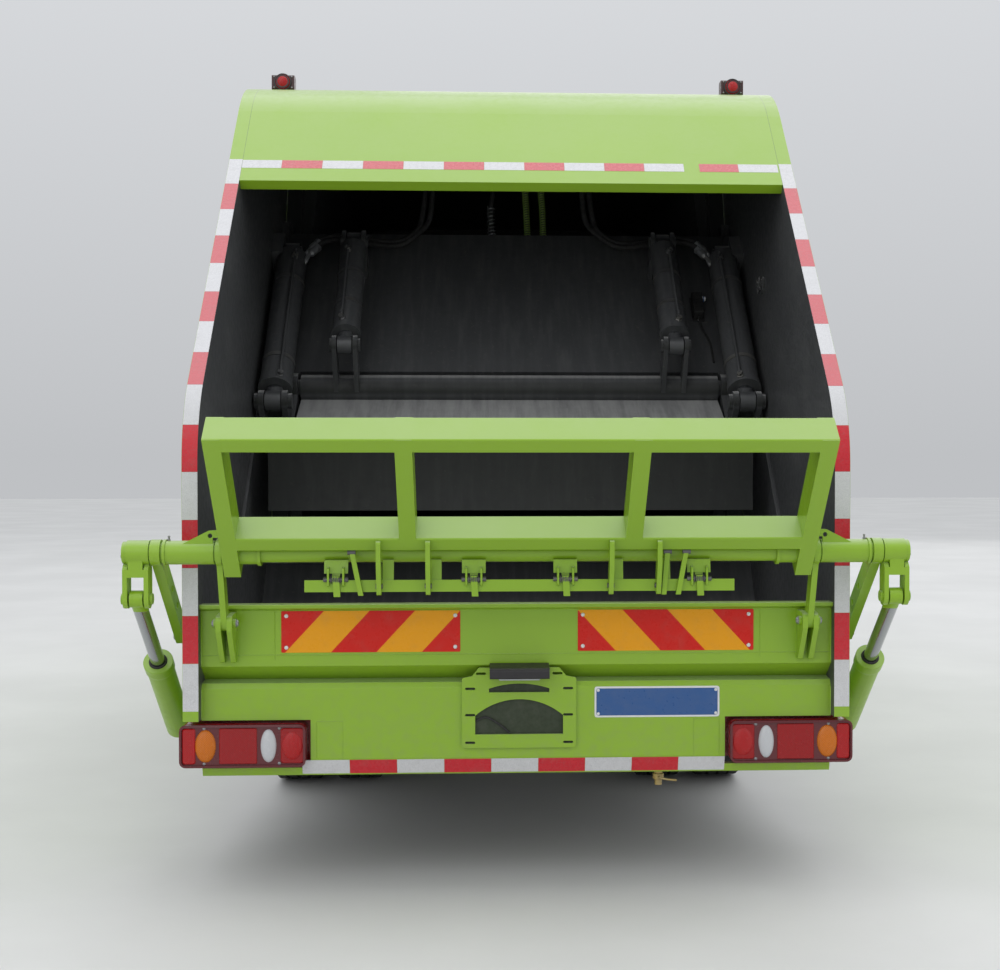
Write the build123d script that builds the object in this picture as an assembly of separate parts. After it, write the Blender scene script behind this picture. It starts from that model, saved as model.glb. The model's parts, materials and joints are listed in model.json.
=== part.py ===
"""Rear-loading compactor truck with a bin lifter, as an assembly of separate pieces.

Axes: x to the truck's right, y forward, z up, millimetres. While modelling, y is measured
from the rear face of the loading hopper and z from the ground. At the end everything moves
back by half the length, so that the origin is the middle of the box on the ground.
"""
import os
from math import acos, asin, atan2, cos, degrees, hypot, radians, sin, sqrt, tan

from build123d import *

# Running clearances
FIT = 0.05              # radial clearance of a pin or shaft in its bore
SEAT = 0.3              # gap between a piece and the seat that it slides or rests on
PANEL_GAP = 8.0         # gap round a door or between body and tailgate

# Hopper and tailgate
TAILGATE_W = 2107.0     # across the side walls
SIDE_WALL = 50.0        # side wall, whole thickness
SLOPE = 43.15           # lean of the loading opening from the vertical, degrees
KNEE_Z = 1516.0         # height where the rear edge starts to lean
KNEE_R = 400.0
ROOF_Z = 2880.0
CREST_R = 500.0         # bend between the slope and the roof
SIDE_FOOT_Z = 560.0     # foot of the side wall's rear edge
OPENING_TOP_Z = 2401.0  # lower edge of the slope panel
SKIN = 40.0             # roof and floor panels, whole thickness
SPLIT_FOOT = (1560.0, 880.0)    # lower end of the joint face between body and tailgate
SPLIT_TOP_Y = 2330.0            # its upper end, at the roof
HINGE = (2340.0, 2925.0)        # tailgate hinge line
LIP_Z = 924.0           # loading sill
LIP_Y = 20.0
WALL_Y = 42.0           # face of the upper rear wall
WALL_T = 33.0
LOWER_Y = 45.0          # face of the lower rear panel
REAR_FOOT_Z = 376.0
LAMP_EDGE = 661.0       # half width of the lower panel between the lamps
LAMP_TOP = 556.0

# Packer inside the hopper: carriage on the slope, scraper hinged on it
PIVOT = (1350.0, 1664.0)        # scraper axis with the carriage raised
TRAVEL = 600.0                  # carriage stroke down the slope
TUBE_R = 54.0
TUBE_HALF = 840.0
TIP = (-330.0, -481.0)          # scraper edge from its axis, opened rearwards
KNEE = (-350.0, -200.0)         # outer bend of the scraper from its axis
SCRAPER_HALF = 930.0            # lower part
FLOOR_GAP = 16.0                # scraper edge to the trough
SILL_Z = 949.0                  # trough's front edge
GROOVE = 60.0                   # guide groove in the side walls, across
GROOVE_DEPTH = 26.0
CARRIAGE_HALF = 992.0
PLATE_T = 40.0
PLATE_FOOT = 76.0               # lower edge of the face plate above the scraper axis
PLATE_HEAD = 960.0
SLIDE_PIN = (-230.0, -60.0)     # slide cylinder's rod pin from the scraper axis
SLIDE_X = 922.0
SLIDE_CLOSED = 900.0            # pin to pin, rod in
SLIDE_BORE_R = 63.0             # barrel, outside
SLIDE_ROD_R = 32.0
LEVER_PIN = (-115.0, 166.0)     # scraper cylinder's rod pin from the scraper axis
LEVER_X = 657.0
LEVER_BASE = (700.0, -190.0)    # its fixed pin: up the slope, and off the plate
LEVER_BORE_R = 55.0
LEVER_ROD_R = 28.0

# Bin lifter on the rear wall
LIFTER_AXIS = (-110.0, 1098.0)
LIFTER_LEAN = 41.8      # lean of the frame from the vertical, degrees
SHAFT_R = 31.0
SLEEVE_R = 36.5
SHAFT_END = 1200.0
FRAME_HALF = 903.0      # across the outer posts
FRAME_DEEP = 100.0      # tube section: across the frame's plane
FRAME_WIDE = 50.0       # and in it
FRAME_HEAD = 500.0      # top of the frame above the axis, along the posts
FRAME_FOOT = -57.0
LOWER_BAR_TOP = 105.0
MID_POST_X = 341.0
CRANK_PIN = (-110.0, 957.0)
CRANK_X = 1166.0
RAM_BASE = (530.0, 440.0)
RAM_R = 44.0
RAM_ROD_R = 23.0
STAY_X = 1107.0
BAR_X = 916.0

# Chassis
TYRE_R = 402.0
TYRE_W = 215.0
WHEEL_Z = 402.0
TWIN_GAP = 254.0
REAR_AXLE_Y = 1790.0
WHEELBASE = 3660.0
FRONT_AXLE_Y = REAR_AXLE_Y + WHEELBASE
TRACK_EDGE = 1000.0     # outer face of the tyres
RAIL_HALF = 375.0
RAIL_H = 180.0
RAIL_TOP = 735.0
RAIL_FLANGE = 65.0
RAIL_T = 8.0
RAIL_REAR = 1330.0
RAIL_FRONT = FRONT_AXLE_Y + 950
SPRING_X = 430.0
SPRING_W = 70.0
KINGPIN_X = 690.0
KINGPIN_R = 18.0

# Load box
BOX_HALF = 945.0
BOX_FOOT = 930.0
BOX_FRONT = FRONT_AXLE_Y - 610
BOX_WALL = 45.0
EJECTOR_STROKE = 2200.0

# Cab
CAB_HALF = 1000.0
CAB_BACK = FRONT_AXLE_Y - 505
CAB_FRONT = FRONT_AXLE_Y + 1030
CAB_FOOT = 760.0
CAB_ROOF = 2290.0
CAB_WALL = 55.0
CAB_FLOOR = 930.0
CAB_HINGE = (CAB_FRONT - 110, 810.0)
DOOR_FRONT = CAB_FRONT - 150
DOOR_HINGE_X = 1012.0
BELT_Z = 1450.0
ROOF_DRAWN_IN = 62.0
CREASE = 1.5
BUMPER_FACE = CAB_FRONT + 105
BUMPER_BACK = CAB_FRONT + 17
BUMPER_RISE = 33.0      # the raised middle of the bumper stands this far forward of its back

UP = (sin(radians(SLOPE)), cos(radians(SLOPE)))         # up the slope, as (y, z)
OFF = (cos(radians(SLOPE)), -sin(radians(SLOPE)))       # square to it, forward and down
INNER = TAILGATE_W / 2 - SIDE_WALL                      # half the room between the side walls
LEAN_UP = (-sin(radians(LIFTER_LEAN)), cos(radians(LIFTER_LEAN)))
LEAN_OFF = (-cos(radians(LIFTER_LEAN)), -sin(radians(LIFTER_LEAN)))
LIFTER_REAR = (LIFTER_AXIS[0] + FRAME_HEAD * LEAN_UP[0] + FRAME_DEEP / 2 * LEAN_OFF[0])
MIDDLE_Y = (LIFTER_REAR + BUMPER_FACE) / 2

NODES = {}


def add(start, *offsets):
    """The point start moved by each (direction, distance)."""
    y, z = start
    for direction, distance in offsets:
        y += direction[0] * distance
        z += direction[1] * distance
    return (y, z)


def on_slope(up, off):
    """A point given up the slope and square to it, from the raised scraper axis."""
    return add(PIVOT, (UP, up), (OFF, off))


def on_frame(up, off):
    """A point given along the lifter's posts and square to its plane, from its axis."""
    return add(LIFTER_AXIS, (LEAN_UP, up), (LEAN_OFF, off))


def split_y(z):
    """The joint face between body and tailgate, at height z."""
    share = (z - SPLIT_FOOT[1]) / (ROOF_Z - SPLIT_FOOT[1])
    return SPLIT_FOOT[0] + share * (SPLIT_TOP_Y - SPLIT_FOOT[0])


def outline(rows):
    """Closed face from rows (a, b, corner radius)."""
    corners = [Vector(a, b) for a, b, _ in rows]
    count = len(rows)
    spans = []
    for i, (_, _, radius) in enumerate(rows):
        here = corners[i]
        back = (corners[i - 1] - here).normalized()
        ahead = (corners[(i + 1) % count] - here).normalized()
        if radius == 0:
            spans.append((here, None, here))
            continue
        half = radians(back.get_angle(ahead)) / 2
        reach = radius / tan(half)
        middle = here + (back + ahead).normalized() * (radius / sin(half) - radius)
        spans.append((here + back * reach, middle, here + ahead * reach))
    edges = []
    for i, (start, middle, end) in enumerate(spans):
        if middle is not None:
            edges.append(ThreePointArc(start, middle, end))
        edges.append(Line(end, spans[(i + 1) % count][0]))
    return make_face(edges)


def across(rows, x0, x1):
    """Outline rows (y, z, radius) carried from x0 to x1."""
    face = rows if isinstance(rows, (Face, Sketch)) else outline(rows)
    return Pos(x0, 0, 0) * extrude(Plane.YZ * face, x1 - x0, dir=(1, 0, 0))


def along(rows, y0, y1):
    """Outline rows (x, z, radius) carried from y0 to y1."""
    face = rows if isinstance(rows, (Face, Sketch)) else outline(rows)
    return Pos(0, y0, 0) * extrude(Plane.XZ * face, y1 - y0, dir=(0, 1, 0))


def upward(rows, z0, z1):
    """Outline rows (x, y, radius) carried from z0 to z1."""
    return Pos(0, 0, z0) * extrude(outline(rows), z1 - z0, dir=(0, 0, 1))


def block(x, y, z):
    """Box between the pairs (low, high)."""
    size = [b - a for a, b in (x, y, z)]
    middle = [(a + b) / 2 for a, b in (x, y, z)]
    return Pos(*middle) * Box(*size)


def bar(start, end, radius):
    """Round bar between two points."""
    start, end = Vector(start), Vector(end)
    way = end - start
    foot = (Align.CENTER, Align.CENTER, Align.MIN)
    return Plane(origin=start, z_dir=way.normalized()) * Cylinder(radius, way.length, align=foot)


def pin(at, radius, x0, x1):
    """Round bar along x at the point (y, z)."""
    return bar((x0, *at), (x1, *at), radius)


def eye(at, radius, bore, x0, x1):
    """Ring along x round the point (y, z)."""
    return pin(at, radius, x0, x1) - pin(at, bore, x0 - 1, x1 + 1)


def strip(start, end, wide):
    """Outline rows of a flat bar between two points (y, z)."""
    length = hypot(end[0] - start[0], end[1] - start[1])
    way = ((end[0] - start[0]) / length, (end[1] - start[1]) / length)
    side = (-way[1], way[0])
    half = wide / 2
    corners = [add(start, (side, half)), add(start, (side, -half)),
               add(end, (side, -half)), add(end, (side, half))]
    return [(y, z, 0) for y, z in corners]


def link(start, end, radius, x0, x1):
    """Flat bar with round ends between two points (y, z)."""
    return across(strip(start, end, 2 * radius), x0, x1) + pin(start, radius, x0, x1) + pin(end, radius, x0, x1)


def sector(centre, inner, outer, start, end):
    """Face of a bent strip round centre, angles in degrees from forward to up."""
    def at(radius, angle):
        return Vector(centre[0] + radius * cos(radians(angle)), centre[1] + radius * sin(radians(angle)))
    middle = (start + end) / 2
    return make_face([
        ThreePointArc(at(inner, start), at(inner, middle), at(inner, end)),
        Line(at(inner, end), at(outer, end)),
        ThreePointArc(at(outer, end), at(outer, middle), at(outer, start)),
        Line(at(outer, start), at(inner, start)),
    ])


def turned(rows):
    """Solid of revolution about x from rows (x, r, corner radius)."""
    return revolve(outline(rows), Axis.X)


def both(*shapes):
    """The shapes on the right-hand side, and their mirror images on the left."""
    return [*shapes, *[mirror(shape, about=Plane.YZ) for shape in shapes]]


def keep(name, *shapes):
    """Write the solids of one piece to its file, moved to the finished origin."""
    solids = []
    for shape in shapes:
        for item in (shape if isinstance(shape, (list, tuple)) else [shape]):
            solids.extend(item.solids())
    NODES[name] = Compound(children=solids)
    export_step(Pos(0, -MIDDLE_Y, 0) * NODES[name], f"parts/{name}.step")


def cylinder_parts(base, end, x, reach, size):
    """Barrel and rod between two pins (y, z) at x.

    reach is the barrel's length from its base pin; size is (barrel, rod, eye, bore, half width of
    the eye, neck between the base pin and the barrel).
    """
    barrel_r, rod_r, eye_r, bore_r, half, neck = size
    length = hypot(end[0] - base[0], end[1] - base[1])
    way = ((end[0] - base[0]) / length, (end[1] - base[1]) / length)

    def at(distance):
        return (x, *add(base, (way, distance)))

    barrel = bar(at(neck), at(reach), barrel_r) + bar(at(reach - 30), at(reach), barrel_r + 4)
    barrel += pin(base, eye_r, x - half, x + half) + bar(at(0), at(neck + 4), half)
    barrel -= pin(base, bore_r + FIT, x - barrel_r - 10, x + barrel_r + 10)
    barrel -= bar(at(neck + 30), at(reach + 1), rod_r + FIT)
    rod = bar(at(neck + ROD_START), at(length), rod_r) + pin(end, eye_r, x - half, x + half)
    rod -= pin(end, bore_r + FIT, x - half - 10, x + half + 10)
    return barrel, rod


# Tailgate

def tailgate_sides():
    """Side walls with the guide grooves, hinge knuckles and ears of the lifting cylinders."""
    outer = TAILGATE_W / 2
    rows = [
        (0, SIDE_FOOT_Z, 0), (0, KNEE_Z, KNEE_R),
        (slope_y(ROOF_Z), ROOF_Z, CREST_R), (SPLIT_TOP_Y, ROOF_Z, 0),
        (SPLIT_FOOT[0], SPLIT_FOOT[1], 40), (1180, 560, 120), (650, 400, 60),
        (160, 400, 0), (160, SIDE_FOOT_Z, 0),
    ]
    wall = across(rows, INNER, outer)
    low = on_slope(-TRAVEL - 270, 0)
    high = on_slope(PLATE_HEAD + 40, 0)
    wall -= across(strip(low, high, GROOVE), INNER - 1, INNER + GROOVE_DEPTH)
    lift = lift_pin()
    root = (split_y(lift[1]) - 80, lift[1] - 10)
    for x0, x1 in ((LIFT_X - 37, LIFT_X - 25), (LIFT_X + 25, LIFT_X + 37)):
        wall += link(root, lift, 38, x0, x1)
    wall += across(strip(add(root, ((0, 1), 38)), add(root, ((0, 1), -38)), 60), LIFT_X - 37, outer)
    ram = ram_bracket()
    wall += ram
    keep("tailgate_sides", both(wall))


def slope_y(z):
    """The leaning rear edge at height z."""
    return (z - KNEE_Z) * tan(radians(SLOPE))


def ram_bracket():
    """Boss and pin that carry a lifter ram low on the side wall."""
    outer = TAILGATE_W / 2
    boss = pin(RAM_BASE, 34, outer - 1, CRANK_X - RAM_R - 4)
    return boss + pin(RAM_BASE, RAM_PIN_R, outer, CRANK_X + RAM_EYE_HALF + 1)


def tailgate_roof():
    """Slope panel above the loading opening and the roof, one bent sheet."""
    foot = slope_y(OPENING_TOP_Z)
    inner_foot = add((foot, OPENING_TOP_Z), (OFF, SKIN))
    under = ROOF_Z - SKIN
    inner_crest = inner_foot[0] + (under - inner_foot[1]) * tan(radians(SLOPE))
    rows = [
        (foot, OPENING_TOP_Z, 0), (slope_y(ROOF_Z), ROOF_Z, CREST_R), (SPLIT_TOP_Y, ROOF_Z, 0),
        (split_y(under), under, 0), (inner_crest, under, CREST_R - SKIN), (*inner_foot, 0),
    ]
    roof = across(rows, -INNER, INNER)
    knuckles = []
    for x in (-560, 560):
        rows = [(HINGE[0] - 150, ROOF_Z, 0), (HINGE[0] - 40, HINGE[1] + 26, 20),
                (HINGE[0], HINGE[1] + 34, 0), (HINGE[0], ROOF_Z + 6, 0), (SPLIT_TOP_Y, ROOF_Z, 0)]
        knuckle = across(rows, x - 30, x + 30) + pin(HINGE, 34, x - 30, x + 30)
        knuckles.append(knuckle - pin(HINGE, 20 + FIT, x - 40, x + 40))
    for knuckle in knuckles:
        roof += knuckle
    keep("tailgate_roof", roof)


def trough():
    """Centre, radius and contact points of the bent hopper floor."""
    centre = add(PIVOT, (UP, -TRAVEL))
    radius = hypot(*TIP) + FLOOR_GAP
    return centre, radius


def hopper_floor():
    """Floor: a straight run from the rear wall into an arc swept by the scraper, and a front sill."""
    centre, radius = trough()
    start_y = WALL_Y + WALL_T
    start = (start_y, LIP_Z - 74)
    away = (centre[0] - start[0], centre[1] - start[1])
    distance = hypot(*away)
    lean = atan2(away[0], away[1]) - acos(radius / distance)

    def on_arc(r, angle):
        return (centre[0] - r * sin(angle), centre[1] - r * cos(angle))

    outer = radius + SKIN
    end_in = -acos((centre[1] - SILL_Z) / radius)
    end_out = -acos((centre[1] - SILL_Z + 46) / outer)
    start_low = (start_y, start[1] - SKIN / cos(lean))
    sill_front = [(split_y(SILL_Z) - 2, SILL_Z), (split_y(SILL_Z - 46) - 2, SILL_Z - 46)]
    points = [
        Line(start, on_arc(radius, lean)),
        ThreePointArc(on_arc(radius, lean), on_arc(radius, (lean + end_in) / 2), on_arc(radius, end_in)),
        Line(on_arc(radius, end_in), sill_front[0]),
        Line(sill_front[0], sill_front[1]),
        Line(sill_front[1], on_arc(outer, end_out)),
        ThreePointArc(on_arc(outer, end_out), on_arc(outer, (lean + end_out) / 2), on_arc(outer, lean)),
        Line(on_arc(outer, lean), start_low),
        Line(start_low, start),
    ]
    keep("hopper_floor", across(make_face(points), -INNER, INNER))


def rear_wall():
    """Rear wall: upper panel under the loading sill, folded step, lower panel between the lamps."""
    back = WALL_Y + WALL_T
    rows = [
        (LIP_Y, LIP_Z, 3), (back, LIP_Z, 3), (back, 742, 0), (142, 696, 0), (142, 652, 0), (86, 646, 0),
        (86, 400, 0), (112, REAR_FOOT_Z, 0), (64, REAR_FOOT_Z, 3), (LOWER_Y, 432, 0), (LOWER_Y, 656, 3),
        (56, 672, 3), (110, 678, 0), (WALL_Y, 727, 3), (WALL_Y, LIP_Z - 20, 2), (LIP_Y, LIP_Z - 12, 2),
    ]
    wall = across(rows, -INNER, INNER)
    for side in (-1, 1):
        x0, x1 = sorted((side * LAMP_EDGE, side * (INNER + 1)))
        wall -= block((x0, x1), (0, 160), (402, LAMP_TOP))
    keep("rear_wall", wall)


def rear_lamps():
    """Lamp boxes with rounded lenses on dark carriers beside the lower panel."""
    body = along([(LAMP_IN, LAMP_FOOT, 22), (LAMP_OUT, LAMP_FOOT, 22),
                  (LAMP_OUT, LAMP_HEAD, 22), (LAMP_IN, LAMP_HEAD, 22)], 42, 112)
    lens = along([(LAMP_IN + 10, LAMP_FOOT + 10, 16), (LAMP_OUT - 10, LAMP_FOOT + 10, 16),
                  (LAMP_OUT - 10, LAMP_HEAD - 10, 16), (LAMP_IN + 10, LAMP_HEAD - 10, 16)], 30, 60)
    carrier = block((LAMP_EDGE + 4, TAILGATE_W / 2 - 2), (110, 160), (LAMP_FOOT + 6, LAMP_HEAD + 6))
    keep("rear_lamps", both(body + lens + carrier))


def plate_bracket():
    """Pressed plate carrier with stepped head, slots, arched window and a lamp hood."""
    face = outline([
        (-182, 463, 12), (182, 463, 12), (182, 686, 6), (150, 692, 4), (128, 719, 8),
        (-128, 719, 8), (-150, 692, 4), (-182, 686, 6),
    ])
    window = make_face([
        Line((-140, 506), (140, 506)), Line((140, 506), (140, 566)),
        ThreePointArc((140, 566), (0, 618), (-140, 566)), Line((-140, 566), (-140, 506)),
    ])
    upper = make_face([
        Line((-96, 640), (96, 640)), Line((96, 640), (96, 652)),
        ThreePointArc((96, 652), (0, 668), (-96, 652)), Line((-96, 652), (-96, 640)),
    ])
    plate = along(face, LOWER_Y - 10, LOWER_Y) - along(window, 0, 60) - along(upper, 0, 60)
    heights = (480, 568, PLATE_SLOT_Z)
    slots = [(x, z) for x in (-PLATE_SLOT_X, PLATE_SLOT_X) for z in heights] + [(-122, 700), (122, 700)]
    for x, z in slots:
        plate -= along(Pos(x, z) * SlotOverall(32, 8), 0, 60)
    hood = across([(-34, 692, 6), (-34, 724, 14), (LOWER_Y - 10, 736, 6), (LOWER_Y - 10, 686, 6)], -94, 94)
    keep("plate_bracket", plate + hood)


def roof_beacons():
    """Two small marker lamps on posts at the roof's rear corners."""
    parts = []
    for x in (-930, 925):
        post = bar((x, 1520, ROOF_Z), (x, 1520, ROOF_Z + 16), 14)
        body = across([(1490, ROOF_Z + 14, 8), (1550, ROOF_Z + 14, 8),
                       (1550, ROOF_Z + 74, 14), (1490, ROOF_Z + 74, 8)], x - 46, x + 46)
        lens = bar((x, 1491, ROOF_Z + 44), (x, 1474, ROOF_Z + 44), 27)
        parts.append(post + body + lens)
    keep("roof_beacons", parts)


def lifter_supports():
    """Fixed bearings of the lifter: outer perforated stays and inner bars held in lugs."""
    bore = SHAFT_R + FIT
    stay_foot = (262, 800)
    stay = across(strip(LIFTER_AXIS, stay_foot, 58), STAY_X - 15, STAY_X + 15)
    stay -= across(strip(LIFTER_AXIS, add(stay_foot, (UP, -1)), 44), STAY_X - 8, STAY_X + 16)
    stay += eye(LIFTER_AXIS, 40, bore, STAY_X - 15, STAY_X + 15)
    stay -= pin(LIFTER_AXIS, bore, STAY_X - 40, STAY_X + 40)
    for share in (0.42, 0.62, 0.82):
        spot = [a + share * (b - a) for a, b in zip(LIFTER_AXIS, stay_foot)]
        stay -= pin(spot, 12, STAY_X - 40, STAY_X + 40)
    stay += pin(stay_foot, 26, TAILGATE_W / 2, STAY_X + 15)
    lug_pin = (-26, 872)
    brace = link(lug_pin, LIFTER_AXIS, 24, BAR_X - 9, BAR_X + 9) + pin(LIFTER_AXIS, 42, BAR_X - 9, BAR_X + 9)
    brace -= pin(LIFTER_AXIS, bore, BAR_X - 40, BAR_X + 40)
    brace += pin(lug_pin, 14, BAR_X - 34, BAR_X + 34)
    for x0, x1 in ((BAR_X - 25, BAR_X - 9), (BAR_X + 9, BAR_X + 25)):
        lug = across([(WALL_Y, 900, 0), (WALL_Y, 742, 0), (20, 742, 10), (-56, 850, 20), (-56, 896, 20),
                      (-6, 900, 8)], x0, x1)
        brace += lug
    keep("lifter_supports", both(stay, brace))


# Bin lifter

def lifter_frame():
    """Tilting frame: shaft, sleeves, cranks, posts, two bars and gussets, welded up."""
    half = FRAME_DEEP / 2
    shaft = pin(LIFTER_AXIS, SHAFT_R, -SHAFT_END, SHAFT_END)
    frame = shaft
    posts = [(FRAME_HALF - FRAME_WIDE, FRAME_HALF, FRAME_FOOT),
             (-FRAME_HALF, -FRAME_HALF + FRAME_WIDE, FRAME_FOOT),
             (MID_POST_X - FRAME_WIDE / 2, MID_POST_X + FRAME_WIDE / 2, LOWER_BAR_TOP - 10),
             (-MID_POST_X - FRAME_WIDE / 2, -MID_POST_X + FRAME_WIDE / 2, LOWER_BAR_TOP - 10)]
    for x0, x1, foot in posts:
        rows = [(*on_frame(foot, -half), 0), (*on_frame(foot, half), 0),
                (*on_frame(FRAME_HEAD - 1, half), 0), (*on_frame(FRAME_HEAD - 1, -half), 0)]
        frame += across(rows, x0, x1)
    for top in (FRAME_HEAD, LOWER_BAR_TOP):
        rows = [(*on_frame(top - FRAME_WIDE, -half), 5), (*on_frame(top - FRAME_WIDE, half), 5),
                (*on_frame(top, half), 5), (*on_frame(top, -half), 5)]
        edge = FRAME_HALF if top == FRAME_HEAD else FRAME_HALF - 10
        frame += across(rows, -edge, edge)
    for side in both_sides(lifter_end()):
        frame += side
    keep("lifter_frame", frame)


def both_sides(shape):
    return [shape, mirror(shape, about=Plane.YZ)]


def lifter_end():
    """One end of the lifter's shaft: sleeve, gusset, crank with its fork, and end disc."""
    sleeve = pin(LIFTER_AXIS, SLEEVE_R, BAR_X + 15, STAY_X - 22)
    sleeve += pin(LIFTER_AXIS, SLEEVE_R + 4, STAY_X - 30, STAY_X - 22)
    sleeve += pin(LIFTER_AXIS, SLEEVE_R, 790, FRAME_HALF) + pin(LIFTER_AXIS, SLEEVE_R + 5, 790, 800)
    y, z = LIFTER_AXIS
    gusset = along([(FRAME_HALF - 4, z + 70, 0), (FRAME_HALF - 4, z + 46, 0), (BAR_X + 18, z + 46, 0),
                    (BAR_X + 18, z + 20, 0), (1040, z + 20, 0), (BAR_X + 30, z + 68, 12)], y - 24, y - 14)
    gusset -= bar((BAR_X + 26, y - 40, z + 52), (BAR_X + 26, y, z + 52), 7)
    hub = pin(LIFTER_AXIS, 38, STAY_X + 19, SHAFT_END - 6) + pin(LIFTER_AXIS, 34, SHAFT_END - 6, SHAFT_END + 7)
    knee = add(LIFTER_AXIS, ((0, -1), 72))
    arm = across(strip(LIFTER_AXIS, knee, 58), CRANK_X - 22, CRANK_X + 22)
    fork = []
    for x0, x1 in ((CRANK_X - 39, CRANK_X - 25), (CRANK_X + 25, CRANK_X + 39)):
        fork.append(link(add(knee, ((0, 1), 12)), CRANK_PIN, 29, x0, x1))
        edge = x0 - 8 if x0 < CRANK_X - 30 else x1
        fork.append(pin(CRANK_PIN, 17, edge, edge + 8))
    bridge = across(strip(add(knee, ((0, 1), 22)), add(knee, ((0, -1), 2)), 58), CRANK_X - 39, CRANK_X + 39)
    end = sleeve + gusset + hub + arm + bridge
    for piece in fork:
        end += piece
    return end


def bin_comb():
    """Hooks and hangers under the lower bar, with the clamp bar that they hold."""
    y0, z0 = LIFTER_AXIS
    root = on_frame(LOWER_BAR_TOP - 22, FRAME_DEEP / 2)
    clamp = across([(y0 - 52, z0 - 118, 0), (y0 - 42, z0 - 118, 0), (y0 - 42, z0 - 82, 0), (y0 - 52, z0 - 82, 0)],
                   -655, 655)
    comb = clamp
    hook_rows = [
        (root[0] + 1, root[1] - 18, 0), (root[0] + 1, root[1] + 18, 0), (root[0] - 22, root[1] + 6, 12),
        (root[0] - 14, z0 - 40, 60), (y0 - 74, z0 - 128, 8), (y0 - 50, z0 - 122, 6), (y0 - 52, z0 - 50, 30),
    ]
    for x in (-429, -281, 274, 419):
        comb += across(hook_rows, x - 7, x + 7)
    for x in (-560, -143, 136, 546):
        hanger = across([(y0 - 52, z0 - 118, 0), (y0 - 42, z0 - 118, 0), (y0 - 26, z0 - 24, 0),
                         (y0 - 40, z0 - 24, 0)], x - 12, x + 12)
        comb += hanger + across([(y0 - 48, z0 - 62, 0), (y0 - 36, z0 - 62, 0), (y0 - 22, z0 - 22, 0),
                                 (y0 - 38, z0 - 22, 0)], x - 36, x + 36)
    for x in (-403, -258, 296, 441):
        comb += across([(y0 - 50, z0 - 90, 0), (y0 - 42, z0 - 90, 0), (y0 - 24, z0 - 22, 0),
                        (y0 - 38, z0 - 22, 0)], x - 17, x + 17)
    keep("bin_comb", comb - NODES["lifter_frame"])


def lifter_rams():
    """Rams that turn the lifter: barrels on the side walls, rods to the cranks."""
    size = (RAM_R, RAM_ROD_R, 26, RAM_PIN_R, RAM_EYE_HALF, 22)
    barrel, rod = cylinder_parts(RAM_BASE, CRANK_PIN, CRANK_X, 455, size)
    keep("lifter_ram_barrels", both(barrel))
    keep("lifter_ram_rods", both(rod))


# Packer

def packer_carriage():
    """Sliding carriage: face plate, side beams with the scraper bearings, shoes and cylinder ears."""
    half = PLATE_T / 2
    plate = across(strip(on_slope(PLATE_FOOT, 0), on_slope(PLATE_HEAD, 0), PLATE_T), -CARRIAGE_HALF, CARRIAGE_HALF)
    for x in (-300, 300):
        plate += across(strip(on_slope(PLATE_FOOT + 40, half + 20), on_slope(PLATE_HEAD - 40, half + 20), 44),
                        x - 30, x + 30)
    carriage = plate
    beam = across(strip(on_slope(-235, 12), on_slope(PLATE_HEAD, 12), 64), BEAM_IN, BEAM_OUT)
    beam += pin(PIVOT, 60, BEAM_IN, BEAM_OUT)
    beam -= pin(PIVOT, JOURNAL_R + FIT, BEAM_IN - 1, BEAM_OUT + 1)
    slide_pin = add(PIVOT, (SLIDE_PIN, 1))
    root = on_slope(-190, 0)
    for x0, x1 in ((SLIDE_X - 56, SLIDE_X - 34), (SLIDE_X + 34, SLIDE_X + 56)):
        beam += across(strip(root, slide_pin, 84), x0, x1) + pin(slide_pin, 42, x0, x1)
        cap = x0 - 16 if x0 < SLIDE_X - 50 else x1
        beam += pin(slide_pin, 30, cap, cap + 16)
    beam += pin(slide_pin, 27, SLIDE_X - 40, SLIDE_X + 40)
    for low in (-225, PLATE_HEAD - 120):
        shoe = strip(on_slope(low, 0), on_slope(low + 110, 0), GROOVE - 2 * SEAT)
        beam += across(shoe, BEAM_OUT - 20, INNER + GROOVE_DEPTH - 4)
    for side in both_sides(beam):
        carriage += side
    base = on_slope(*LEVER_BASE)
    for x in (-LEVER_X, LEVER_X):
        for x0, x1 in ((x - 50, x - 32), (x + 32, x + 50)):
            carriage += across(strip(on_slope(LEVER_BASE[0], 0), base, 90), x0, x1) + pin(base, 45, x0, x1)
        carriage += pin(base, 24, x - 58, x + 58)
    keep("packer_carriage", carriage)


def slide_cylinders():
    """Cylinders that move the carriage, parallel to the slope: barrels on the side walls."""
    foot = add(PIVOT, (SLIDE_PIN, 1))
    head = add(foot, (UP, SLIDE_CLOSED))
    size = (SLIDE_BORE_R, SLIDE_ROD_R, 40, 27, 30, 34)
    barrel, rod = cylinder_parts(head, foot, SLIDE_X, SLIDE_CLOSED - 62, size)
    mount = pin(head, 27, SLIDE_X - 40, INNER)
    mount += across(strip(add(head, (OFF, -55)), add(head, (OFF, 55)), 120), SLIDE_X + 34, INNER)
    keep("slide_barrels", both(barrel + mount))
    keep("slide_rods", both(rod))


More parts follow.
